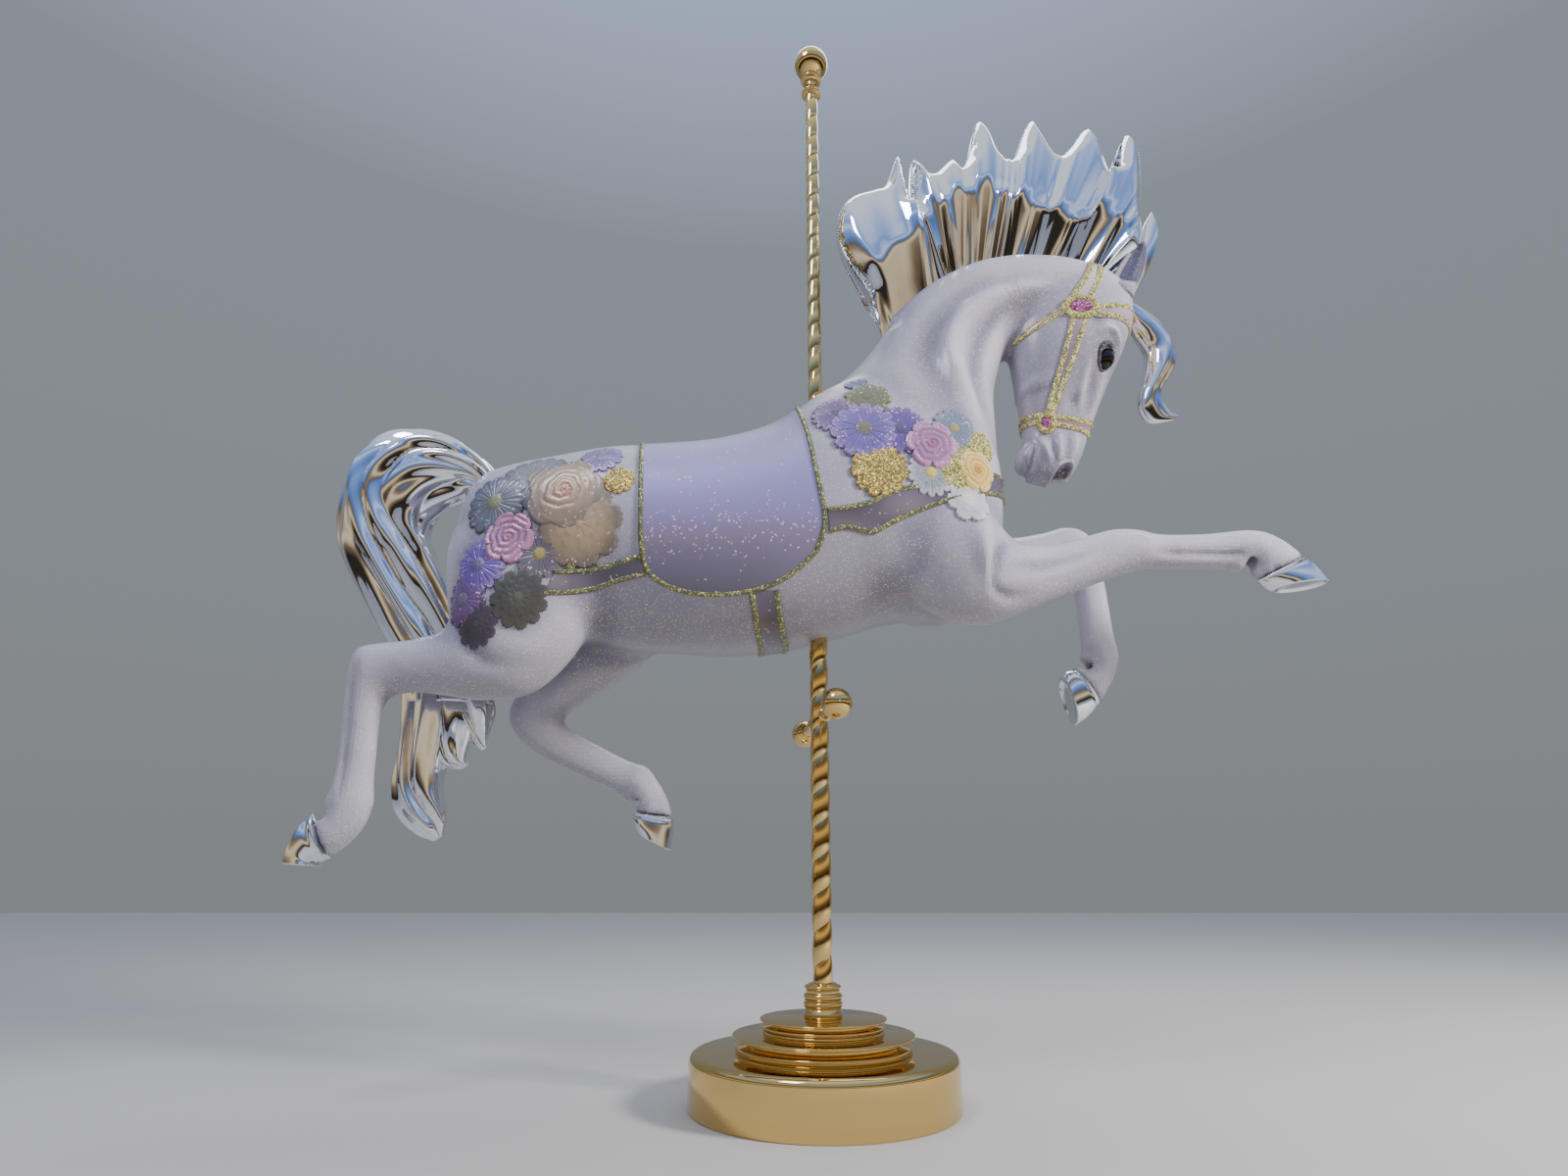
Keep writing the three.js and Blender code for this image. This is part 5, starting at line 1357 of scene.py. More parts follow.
def twisted_pole(name, radius, depth, bottom, top, around=48, across=14):
    """Radius: the outer one minus the depth times |2 * f ** 0.85 - 1| ** 2.4, where f is the share of the
    rib that is crossed. Height: the pitch times the turns so far plus the angle's share."""
    angle = np.linspace(0, 2 * np.pi, around + 1)
    turns = int((top - bottom) / TWIST_PITCH) + 3
    crossing = (1 - np.cos(np.linspace(0, np.pi, across + 1)[:-1])) / 2
    phase = (np.arange(turns)[:, None] + crossing).reshape(-1, 1) + np.floor(bottom / TWIST_PITCH) - 1
    low, high = (level / TWIST_PITCH - angle / (2 * np.pi) for level in (bottom, top))
    phase = np.clip(phase, low, high)
    reach = radius - depth * np.abs(2 * (phase - np.floor(phase)) ** 0.85 - 1) ** 2.4
    height = TWIST_PITCH * (phase + angle / (2 * np.pi))
    rings = np.stack([reach * np.cos(angle), reach * np.sin(angle), height], -1)
    made = new_piece(name, [(rings.reshape(-1, 3), [grid_faces(*rings.shape[:2])])], [brass])
    weld(made)
    return made


lower_pole = twisted_pole("pole_lower_twist", *LOWER_POLE, STAND_TOP - POLE_DIP, BELLY + POLE_COVER)
dress(lower_pole, "brass", "pole_lower")
upper_pole = twisted_pole("pole_upper_twist", *UPPER_POLE, UPPER_START, POLE_TOP, around=40)
dress(upper_pole, "brass", "pole_upper")

# %% [markdown]
# # Turned brass
# Everything else in brass is turned on a lathe: the finial, the foot pegs, the collar and the steps of the
# stand. A turned piece is a profile of radius and height carried round its axis. Beads are half circles in
# it, and sharp corners are broken by a millimetre, as a turner does, so that each catches a line of light.

# %% Turned pieces
def bead(r, bulge, low, high, count=9):
    """Profile points of a half-round bead: radius r plus the bulge times a sine, from low to high."""
    t = np.linspace(0, 1, count)
    return np.stack([r + bulge * np.sin(np.pi * t), low + (high - low) * (1 - np.cos(np.pi * t)) / 2], -1)


def broken(corners, size=1.2):
    """A profile whose corners are each broken into three points on a small arc. The first and last stay."""
    corners = np.array(corners, float)
    middle = corners[1:-1]
    arms = np.stack([corners[:-2] - middle, corners[2:] - middle])
    reach = np.linalg.norm(arms, axis=-1, keepdims=True)
    back, on = arms / reach * np.minimum(size, reach / 2.1)
    arc = np.stack([middle + back, middle + (back + on) * 0.29, middle + on], 1).reshape(-1, 2)
    return np.concatenate((corners[:1], arc, corners[-1:]))


def turned(profile, around=128):
    """The closed skin of a profile of [radius, height] carried round the upright axis."""
    angle = turn(around)
    r, z = np.asarray(profile, float)[:, None].transpose(2, 0, 1)
    return tube(np.stack(np.broadcast_arrays(r * np.cos(angle), r * np.sin(angle), z), -1))


def ball(radius, foot, low, count=28):
    """Profile of a ball from an angle low above its foot up to its top."""
    a = np.linspace(low, np.pi, count)
    return np.stack([radius * np.sin(a), foot + radius * (1 - np.cos(a))], -1)


DRUM = [[0.5, 0], [243, 0], [243, 79], [239, 86], [232, 89], [0.5, 89]]
MIDDLE_STEP = [
    [0.5, 89], [160, 89], [160, 99], [146, 101], [138, 103], [138, 111], [166, 113], [166, 117], [0.5, 117],
]
TOP_STEP = [
    [0.5, 117], [111, 117], [111, 124], [105, 124.5], [105, 126], [112, 126.5], [112, 131], [95, 132.5],
    [95, 138], [116, 139.5], [116, 143], [0.5, 143],
]
COLLAR = np.concatenate((
    [[0.5, 143], [35, 143], [35, 152], [33, 154], [33, 160]], bead(32, 4, 160, 171), bead(31, 5, 172, 184),
    [[30, 185], [31, 187], [31, 190]], bead(29, 5, 190, 198), [[27, 199], [24, 201], [0.5, 201]],
))
print("collar of", len(COLLAR), "profile points")

# %% Turn the stand
for name, node, profile in [
    ("stand_drum", "base_drum", broken(DRUM, 2.5)),
    ("stand_middle_step", "base_step_middle", broken(MIDDLE_STEP)),
    ("stand_top_step", "base_step_top", broken(TOP_STEP)),
    ("stand_collar", "base_collar", COLLAR),
]:
    dress(new_piece(name, [turned(profile)], [brass]), "brass", node)

# %% Turn the finial and the foot pegs
FINIAL = np.concatenate((
    [[0.5, 2336], [15, 2336], [22, 2339]], bead(24, 2.0, 2340, 2346), [[21, 2349], [16, 2354], [14, 2362],
    [13.5, 2372], [15, 2380], [20, 2384]], bead(24, 3.5, 2385, 2394), [[20, 2397]],
    ball(44, 2400.3, low=0.42),
))
dress(new_piece("finial_turned", [turned(FINIAL, 96)], [brass]), "brass", "finial")

PEG_HEIGHT = BELLY - 164
PEG_YAW = np.radians(8)
PEG = np.concatenate((
    [[0.5, 12], [11, 12], [11, 60]], bead(11, 3, 62, 70), [[11, 72], [11, 140], [13, 146]],
    bead(13, 4, 147, 154), ball(29, 150, low=0.5),
))
points, faces = turned(PEG, 64)
for name, side in SIDES.items():
    out = side * points[:, 2]
    peg = np.stack([
        points[:, 0] * np.cos(PEG_YAW) - out * np.sin(PEG_YAW),
        points[:, 0] * np.sin(PEG_YAW) + out * np.cos(PEG_YAW),
        PEG_HEIGHT + points[:, 1] * side,
    ], -1)
    dress(new_piece("peg_" + name, [outward(peg, faces)], [brass]), "brass", "foot_peg_" + name)

# %% [markdown]
# # The hooves
# The hooves are plated like the hair. Each flares from the coronet, where a narrow band marks the edge of
# the hair, to the ground edge, and has a flat sole.

# %% Hooves
WALL_RINGS = 40


def hoof(ribs):
    """Rings down the hoof wall, with a bead and a groove at the coronet, then rings across the sole to its
    middle."""
    wall = along(ribs, WALL_RINGS)
    t = np.linspace(0, 1, WALL_RINGS)
    wall[:, 5] += 2.2 * bell(t - 0.06, 0.05) - 1.2 * bell(t - 0.17, 0.06)
    rings = rib_points(wall, turn(72))
    sole = rings[-1].mean(0)
    shares = np.array([0.97, 0.9, 0.8, 0.78, 0.4])[:, None, None]
    sink = np.array([0.6, 1.4, 1.4, -1.5, -2.5])[:, None, None]
    down = rings[-1].mean(0) - rings[-6].mean(0)
    flat_rings = sole + shares * (rings[-1] - sole) + sink * down / np.linalg.norm(down)
    return tube(np.concatenate((rings, flat_rings)))


for name, ribs in HOOVES.items():
    dress(new_piece(name + "_chrome", [hoof(ribs)], [chrome]), "chrome", name)

# %% [markdown]
# # The saddle
# The saddle is one smooth blanket of lacquered leather over both flanks, almost level with the skin, with a
# gold glitter cord all round it. Its net is worked out on the unrolled body: x along the horse, and the
# angle round the barrel. Four edges are given there, and the inside is blended from them, a Coons patch:
# both pairs of edges joined straight, less the patch through the four corners.

# %% Saddle
BARREL_HEIGHT = 1080.0
SADDLE_REAR = [[-384, 0], [-378, 20], [-369, 38], [-360, 63], [-353, 88], [-350, 108], [-343, 123]]
SADDLE_FRONT = [[-46, 0], [-38, 25], [-21, 47], [-4, 75], [8, 97], [4, 108], [-8, 117]]
SADDLE_HEM = [
    [-343, 123], [-326, 130], [-285, 135.5], [-238, 137.8], [-175, 137.6], [-112, 134.8], [-55, 128],
    [-8, 117],
]
SADDLE_CORE = 40  # radius of the core that the net starts from
SADDLE_GRID = [70, 170]
SADDLE_TOP = 2.6
SADDLE_CORD = [5.6, 6.2]  # half width and height
# dark at the lower edge to light on top: the lacquer's own lilac and blue, with painted shade low on the
# barrel
SADDLE_TINTS_AND_SHADE = ["#6A6270", "#706C82", "#857892", "#8B82B2", "#918AC0", "#9890BC", "#9A95AC"]
SADDLE_TINT_HEIGHTS = [905, 950, 1010, 1060, 1150, 1230, 1330]
SADDLE_FLAKES = [0.3, 2.2, 1020, 45]  # everywhere, and the more in a band: its height and half width


def both_sides(half):
    """A route from the left hem over the back to the right hem."""
    half = np.array(half, float)
    return np.concatenate((half[:0:-1] * (1, -1), half))


def coons(rear, front, left, right, rows, columns):
    """Blend of four edges: each pair joined straight, summed, less the patch of the corners."""
    u, v = np.linspace(0, 1, rows)[:, None, None], np.linspace(0, 1, columns)[None, :, None]
    rear, front = along(rear, columns)[None], along(front, columns)[None]
    left, right = along(left, rows)[:, None], along(right, rows)[:, None]
    corners = (1 - u) * ((1 - v) * rear[:, :1] + v * rear[:, -1:]) + u * (
        (1 - v) * front[:, :1] + v * front[:, -1:])
    return (1 - u) * rear + u * front + (1 - v) * left + v * right - corners


hem = np.array(SADDLE_HEM, float)
plan = coons(both_sides(SADDLE_REAR), both_sides(SADDLE_FRONT), hem * (1, -1), hem, *SADDLE_GRID)
roll = np.radians(plan[..., 1])
core = [plan[..., 0], -SADDLE_CORE * np.sin(roll), BARREL_HEIGHT + SADDLE_CORE * np.cos(roll)]
core = np.stack(core, -1)
saddle_net = laid(core)
out = facing(saddle_net)
rim = np.concatenate((saddle_net[0, :-1], saddle_net[:-1, -1], saddle_net[-1, :0:-1], saddle_net[:0:-1, 0]))
rim_out = np.concatenate((out[0, :-1], out[:-1, -1], out[-1, :0:-1], out[:0:-1, 0]))
saddle_skin = slab(saddle_net, out, np.full(out.shape[:2], SADDLE_TOP))
saddle = new_piece("saddle_lacquer", [saddle_skin], [saddle_lacquer])
height = points_of(saddle)[:, 2]
tones = between(height, SADDLE_TINT_HEIGHTS, SADDLE_TINTS_AND_SHADE)
least, more, band, reach = SADDLE_FLAKES
tones[:, 3] = least + more * bell(height - band, reach)
tint_points(saddle, tones)
dress(saddle, "saddle_lacquer", "saddle_pad")
saddle_cord = new_piece("saddle_cord", [cord(rim, rim_out, *SADDLE_CORD, closed=True)], [gold_glitter])
dress(saddle_cord, "strap_lacquer")

# %% [markdown]
# # The straps
# A crupper strap runs back from the saddle to the rump, a breast strap goes round the chest, and a girth
# passes under the belly. Each is a flat strap in iridescent mauve between two glitter cords. The flank's
# straps are laid along Y. The breast strap and the girth go round a curve, so they start as a ring on a core
# inside the body and are sent out along its normals.

# %% Routes of the straps
STRAP_TOP = 2.2
CORDS = (5.4, 5.4)  # half widths
GIRTH_CORDS = (6.8, 6.8)
CRUPPER_UPPER = [[-352, 980], [-385, 971], [-415, 962], [-450, 957], [-486, 953], [-512, 950]]
CRUPPER_LOWER = [[-338, 938], [-380, 931], [-416, 922], [-455, 911], [-495, 901], [-532, 896]]
BREAST = [  # angle from the horse's right towards its front, lower edge, upper edge
    [-42, 1019, 1071], [-36, 1027, 1076], [-26, 1020, 1089], [-18, 1034, 1106], [-10, 1049, 1117],
    [1.6, 1066, 1129], [21, 1091, 1150], [45, 1118, 1172], [68, 1134, 1187], [90, 1140, 1193],
]
GIRTH = [[136, -141, -79], [150, -134, -73], [165, -128, -66], [180, -125, -62]]
HIP_PLATE = [[-486, 991], [-484, 950]]
HIP_PLATE_WIDTH = 15
HIP_PLATE_TOP = 4.5
STRAP_TINTS = ["#56525E", "#6C6473", "#877B89"]
STRAP_WAVES = [37, 23]  # how the tints change along the horse and upwards
STRAP_PLACES = 10  # across a strap
print(len(BREAST) + len(GIRTH), "stations of the breast strap and the girth")

# %% Straps
def mirrored(table, middle):
    """The rows of a table and then the same rows back again, on the other side of the middle angle."""
    table = np.array(table, float)
    back = table[-2::-1].copy()
    back[:, 0] = 2 * middle - back[:, 0]
    return np.concatenate((table, back))


def strap_piece(name, node, strap, cords):
    """A strap with its cords as one piece. Its tint is a sine along the horse times a cosine upwards."""
    made = new_piece(name, [strap, *cords], [strap_lacquer] + [gold_glitter] * len(cords))
    place = points_of(made)
    tone = 0.5 + 0.5 * np.sin(place[:, 0] / STRAP_WAVES[0]) * np.cos(place[:, 2] / STRAP_WAVES[1])
    tint_points(made, between(tone, [0, 0.5, 1], STRAP_TINTS))
    dress(made, "strap_lacquer", node)


for name, side in SIDES.items():
    net = laid(flank(CRUPPER_UPPER, CRUPPER_LOWER, 60, STRAP_PLACES, side), "Y")
    strap, cords = edged(net, STRAP_TOP, CORDS)
    (x1, z1), (x2, z2) = HIP_PLATE
    half = HIP_PLATE_WIDTH / 2
    rear, front = [[x1 - half, z1], [x2 - half, z2]], [[x1 + half, z1], [x2 + half, z2]]
    bar = laid(flank(rear, front, 16, 8, side), "Y")
    plate = slab(bar, facing(bar), HIP_PLATE_TOP)
    strap_piece("crupper_strap_" + name + "_lacquer", "crupper_strap_" + name, strap, cords + [plate])

rows = along(mirrored(BREAST, 90), 190)
net = core_net((190, 0, 0), (1, 0, 0), (0, 0, 1), rows, STRAP_PLACES)
strap, cords = edged(laid(net), STRAP_TOP, CORDS)
strap_piece("breast_strap_lacquer", "breast_strap", strap, cords)

rows = along(mirrored(GIRTH, 180), 90) - (90, 0, 0)
net = core_net((0, 0, BARREL_HEIGHT), (0, 0, -1), (1, 0, 0), rows, STRAP_PLACES)
strap, cords = edged(laid(net), STRAP_TOP, GIRTH_CORDS)
strap_piece("girth_lacquer", "girth", strap, cords)

# %% [markdown]
# # The bridle
# The bridle is gold glitter over satin: a crown strap over the poll, bands across the brow and round the
# nose, a strap down each cheek and a throat latch. The bands that go round the head start as rings on a
# small core inside it, each square to its own axis, and are sent out onto the skin.

# %% Bridle
# Each loop: its middle, the way its angles run towards, its axis, and [angle, low, high] along the axis.
CROWN = [(640, 0, 1700), (0.39, 0, 0.92), (0.92, 0, -0.39), [
    [-47, -36, 16], [-38, -32, 18], [-26, -28, 21], [-4, -22, 24], [24, -19, 24], [56, -18, 21],
    [90, -18, 18],
]]
BROW = [(640, 0, 1600), (1, 0, 0), (0, 0, 1), [
    [-24, -2, 34], [-4, -11, 24], [18, -14, 27], [42, -17, 36], [66, -19, 41], [90, -19, 42],
]]
NOSE = [(550, 0, 1345), (0.977, 0, 0.214), (-0.214, 0, 0.977), [
    [-90, 18, 48], [-52, 6, 36], [-12, -14, 18], [8, -20, 13], [48, -31, 2], [90, -36, -5],
]]
CHEEK_FRONT = [[620, 1600], [612, 1570], [590, 1510], [566, 1450], [546, 1402], [532, 1365], [526, 1350]]
CHEEK_REAR = [[582, 1612], [574, 1580], [556, 1520], [537, 1460], [520, 1408], [509, 1368], [503, 1352]]
LATCH_UPPER = [[600, 1634], [558, 1618], [513, 1594], [482, 1574], [461, 1562]]
LATCH_LOWER = [[600, 1602], [559, 1597], [513, 1573], [480, 1557], [459, 1549]]
BRIDLE_TOP = 2.0
BRIDLE_CORD_HEIGHT = 4.4
BRIDLE_CORE = 12.0  # radius of the core that the loops start from
BRIDLE_TINT_HEIGHTS = [1340, 1450, 1560, 1660, 1740]
BRIDLE_TINTS = ["#9C7E94", "#8B7C90", "#A88A9C", "#CDB4C4", "#D8C6CE"]


def bridle_loop(middle, ahead, axis, rows, count):
    """A band round the head: its rows mirrored to the other side, and its net laid on the skin."""
    rows = along(mirrored(rows, 90), count)
    return laid(core_net(middle, ahead, axis, rows, 8, BRIDLE_CORE))


nets = [  # each with the half widths of its two cords
    (bridle_loop(*CROWN, 120), (8.6, 8.6)), (bridle_loop(*BROW, 110), (8.4, 9.2)),
    (bridle_loop(*NOSE, 150), (6.6, 6.6)),
]
for side in SIDES.values():
    nets.append((laid(flank(CHEEK_FRONT, CHEEK_REAR, 90, 8, side), "Y"), (6.6, 6.6)))
    nets.append((laid(flank(LATCH_UPPER, LATCH_LOWER, 50, 8, side), "Y"), (2.2, 5.2)))
skins, finishes = [], []
for net, wide in nets:
    strap, cords = edged(net, BRIDLE_TOP, wide, BRIDLE_CORD_HEIGHT)
    skins += [strap, *cords]
    finishes += [strap_lacquer] + [bright_glitter] * len(cords)
bridle = new_piece("bridle_glitter", skins, finishes)
height = points_of(bridle)[:, 2]
tint_points(bridle, between(height, BRIDLE_TINT_HEIGHTS, BRIDLE_TINTS))
dress(bridle, "strap_lacquer", "bridle")

# %% [markdown]
# # The jewelled bosses
# A boss sits where two straps meet: a domed oval jewel of pink glitter in a knurled gold ring. Its facets
# are the crossing of two spirals, which the sine of four times the angle plus and minus the distance from
# the middle gives, and the ring is a cord whose thickness is notched all round.

# %% Bosses
ROSETTES = {  # x, z, half breadth and half height of the jewel, half width of its ring, dome
    "rosette_brow": [604, 1617, 26, 18, 9.5, 9], "rosette_nose": [510, 1341, 10, 14, 6.5, 6],
}
JEWEL_RINGS, JEWEL_SPOKES = 18, 72
RING_PLACES = 144
RING_HEIGHT = 6.0
FACET_HEIGHT = 1.2
BOSS_LIFT = 1.5  # from the skin to the jewel's edge and the ring's middle
JEWEL_SINK = 4.0  # its last ring goes down into the wood
NOTCHES = 18

for title, (x, z, across, high, band, dome) in ROSETTES.items():
    for name, side in SIDES.items():
        place, right, up, out = seat(x, z, side, 10)
        rho, angle = np.meshgrid(np.linspace(0.02, 1, JEWEL_RINGS), turn(JEWEL_SPOKES), indexing="ij")
        skin = round_net(place, right, up, rho, angle, across, high)
        facet = 0.5 * np.abs(np.sin(4 * angle + 12 * rho)) + 0.5 * np.abs(np.sin(4 * angle - 12 * rho))
        raised = dome * np.sqrt(1.02 - rho ** 2) + FACET_HEIGHT * facet * rho + BOSS_LIFT
        jewel = skin + out * raised[..., None]
        jewel[-1] -= out * JEWEL_SINK
        theta = turn(RING_PLACES)
        halves = [half + 0.85 * band for half in (across, high)]
        twice = np.stack([theta, theta])
        rim = round_net(place, right, up, np.ones_like(twice), twice, *halves)[0] + out * BOSS_LIFT
        knurl = 1 + 0.1 * np.abs(np.sin(NOTCHES * theta))
        outs = np.tile(out, (RING_PLACES, 1))
        ring = cord(rim, outs, band * knurl, RING_HEIGHT * knurl, closed=True, sides=12)
        node = title + "_" + name
        boss = new_piece(node + "_jewel", [tube(jewel[::-1]), ring], [jewel_glitter, bright_glitter])
        dress(boss, "rosette_jewel", node)

# %% [markdown]
# # The garlands
# Two garlands of moulded flowers lie on each flank, one on the shoulder and one on the rump. A flower is a
# low relief: rings of petals that shrink towards a button, or one petal rolled into a spiral. A few kinds
# serve all of them, and a row of a table gives each its kind, place, size and colours. The far side carries
# fewer.

# %% Kinds of flowers, and where each one lies
# For each ring of petals: its length, its turn in petals, and how high it starts.
KINDS = {
    "daisy": dict(rings=[(1.0, 0.0, 0.0), (0.83, 0.5, 0.28)], crease=0.34, lip=0.0, frill=0.0, button=0.23),
    "aster": dict(
        rings=[(1.0, 0.0, 0.0), (0.84, 0.5, 0.2), (0.64, 0.1, 0.4), (0.44, 0.6, 0.6)],
        crease=0.2, lip=0.1, frill=0.025, button=0.2,
    ),
    "carnation": dict(
        rings=[(1.0, 0.0, 0.0), (0.82, 0.4, 0.22), (0.62, 0.1, 0.44), (0.4, 0.7, 0.62)],
        crease=0.12, lip=0.3, frill=0.035, button=0.1,
    ),
    "rose": dict(
        rings=[(1.0, 0.0, 0.0), (0.86, 0.5, 0.18), (0.7, 0.2, 0.36)],
        crease=0.0, lip=0.3, frill=0.0, button=0.0, roll=(0.58, 3.1),
    ),
    "spiral": dict(rings=[(1.0, 0.0, 0.0)], crease=0.0, lip=0.1, frill=0.02, button=0.0, roll=(0.93, 4.2)),
}
# Kind, petals, x, z, radius, height above the skin, colours from the middle to the tip, and glitter.
CHEST_FLOWERS = [
    ["daisy", 17, 34, 1300, 46, 6, "#4E4C5E", "#756092", "#A084B6", 2.5],
    ["aster", 9, 104, 1345, 46, 6, "#5E6250", "#6C7058", "#8E9260", 2],
    ["daisy", 11, 84, 1404, 24, 5, "#70746C", "#5E6A90", "#7280A8", 2],
    ["daisy", 15, 168, 1257, 52, 7, "#55506A", "#6A559E", "#9478BE", 2.5],
    ["daisy", 14, 92, 1253, 64, 9, "#6E6A56", "#7565AC", "#A691D2", 3.5],
    ["daisy", 16, 280, 1266, 43, 7, "#9A965C", "#7F8AA0", "#A5B0C2", 2],
    ["aster", 11, 118, 1157, 52, 8, "gold", "", "", 0],
    ["daisy", 15, 222, 1153, 44, 7, "#D6C65A", "#A6ACB6", "#F4F6FA", 4],
    ["aster", 9, 336, 1232, 30, 7, "bright gold", "", "", 0],
    ["carnation", 7, 296, 1098, 43, 7, "#E4DCC8", "#C6CAD0", "#FBFBFB", 4],
    ["aster", 9, 283, 1172, 46, 9, "bright gold", "", "", 0],
    ["spiral", 6, 318, 1168, 40, 10, "#C0904C", "#E0BC68", "#F8E48C", 5],
    ["spiral", 6, 228, 1220, 50, 11, "#9A6688", "#A0749A", "#DA9CC6", 4],
]
RUMP_FLOWERS = [
    ["daisy", 13, -445, 1201, 40, 6, "#6E6E84", "#7A70A4", "#A394C8", 2],
    ["aster", 8, -401, 1138, 28, 6, "gold", "", "", 0],
    ["daisy", 13, -575, 1150, 66, 5, "#8A8A68", "#7E8390", "#6E727C", 1],
    ["daisy", 15, -649, 1097, 60, 7, "#8A8A68", "#7A7F8C", "#666A72", 2],
    ["aster", 10, -651, 838, 38, 6, "#4C4650", "#4E4852", "#5E5668", 0],
    ["aster", 11, -575, 888, 50, 7, "#57554E", "#504E4B", "#67645E", 0],
    ["carnation", 8, -470, 1040, 74, 8, "#B09A7C", "#AE9A80", "#7E776E", 0.5],
    ["daisy", 14, -545, 980, 43, 7, "#A08E52", "#6A6670", "#8A858E", 2],
    ["daisy", 14, -683, 889, 45, 7, "#6C6880", "#7A5E90", "#6C5480", 2],
    ["daisy", 15, -660, 957, 49, 8, "#6A6484", "#765EB0", "#A08ACE", 3],
    ["rose", 5, -508, 1112, 72, 11, "#B0826E", "#A8937E", "#8E8880", 1],
    ["spiral", 6, -609, 1014, 47, 10, "#9A6482", "#A07090", "#CC8CB2", 4],
]
# The rows of those tables that the far side has too.
FAR_FLOWERS = {"chest": [4, 3, 12, 6, 10, 7], "rump": [10, 11, 6, 9, 7, 3]}
GOLDS = {"gold": petal_glitter, "bright gold": bright_glitter}
print(len(CHEST_FLOWERS), "flowers on the chest and", len(RUMP_FLOWERS), "on the rump")

# %% [markdown]
# # The relief of a flower
# A flower could be modelled petal by petal. Here it is a height over a round net of distance from the middle
# and angle, so a flower of any kind is one formula, and the net is first laid on the horse, so that the
# flower follows the flank. Between two petals the height falls and the paint there is darker, as painted
# shade, which draws the outlines.

# %% Relief of a flower
def petal_ring(rho, angle, petals, length, offset, crease, lip, frill):
    """One ring of petals: where it covers, how high it stands, and where its edge is. With p = 0 on the axis
    of a petal and 1 between two, the edge is at length * (0.72 + 0.28 * (1 - p ** 3) ** 0.6), wavier with
    the frill, and the height follows (1 - p ** 2.6) ** 0.5, less the crease, plus a lip along the edge."""
    p = np.abs(np.mod(petals * angle / (2 * np.pi) + offset, 1) - 0.5) * 2
    edge = length * (0.72 + 0.28 * (1 - p ** 3) ** 0.6 + frill * np.sin(5 * petals * angle + 9 * offset))
    cover = held((edge - rho) / 0.06) ** 0.5
    rise = np.sqrt(held(1 - p ** 2.6)) - crease * bell(p, 0.22)
    rise = rise + lip * bell(edge - rho - 0.05, 0.05)
    rise = rise + 2.4 * frill * np.sin(5 * petals * angle + 14 * rho) * rho
    return cover, rise, edge


def flower_relief(kind, petals, rings, spokes):
    """Distance from the middle, angle, and the height of a flower, all as shares, on a round net."""
    form = KINDS[kind]
    angle = turn(spokes)[None, :]
    frill = form["frill"]
    edges = [
        petal_ring(0, angle, petals, length, offset, 0, 0, frill)[2] for length, offset, _ in form["rings"]
    ]
    outline = np.max(edges, 0)
    rho = np.linspace(0.02, 1, rings)[:, None] * outline
    height = np.zeros_like(rho)
    for length, offset, base in form["rings"]:
        cover, rise, _ = petal_ring(rho, angle, petals, length, offset, form["crease"], form["lip"], frill)
        swell = 0.62 + 0.3 * np.sin(np.pi * held(rho / length))
        height = np.maximum(height, cover * (base + (1 - base) * 0.62 * swell * rise))
    if form["button"]:
        inside = held(1 - (rho / form["button"]) ** 2)
        seeds = 0.06 * np.sin(rho * 150) * np.sin(9 * angle)
        height = np.where(inside > 0, np.maximum(0.52 + 0.45 * np.sqrt(inside) + seeds, 0.5), height)
    if "roll" in form:
        size, turns = form["roll"]
        wave = 1 + 0.07 * np.sin(3 * angle + 1) + 0.04 * np.sin(7 * angle)
        phase = turns * (rho * wave / size) ** 0.85 - angle / (2 * np.pi)
        fold = 1 - np.abs(2 * np.mod(phase, 1) - 1) ** 2.2
        rolled = 0.42 + 0.22 * (1 - (rho / size) ** 2) + 0.36 * fold
        mix = held((size - rho) / 0.05)
        height = height * (1 - mix) + rolled * mix
    height[-1] = 0
    return rho, np.broadcast_to(angle, rho.shape), height


print("daisy of", flower_relief("daisy", 14, 24, 126)[2].size, "points")

# %% [markdown]
# # Paint and place each flower
# The petals run from one colour at the button to another at the tips, with painted shade where the relief
# is low and painted highlight where it is high, and the tips glitter the most. Flowers marked gold are
# glitter all over. Every garland is one piece, as it is one moulding on the real horse.

# %% Garlands
FLOWER_RINGS = 24
SPOKES_PER_PETAL = 9
FEWEST_SPOKES = 90
SPREAD = [1.14, 1.26]  # along and up the skin, because the flank leans away from a look from the side
GOLD_UNDER = "#A89A4C"


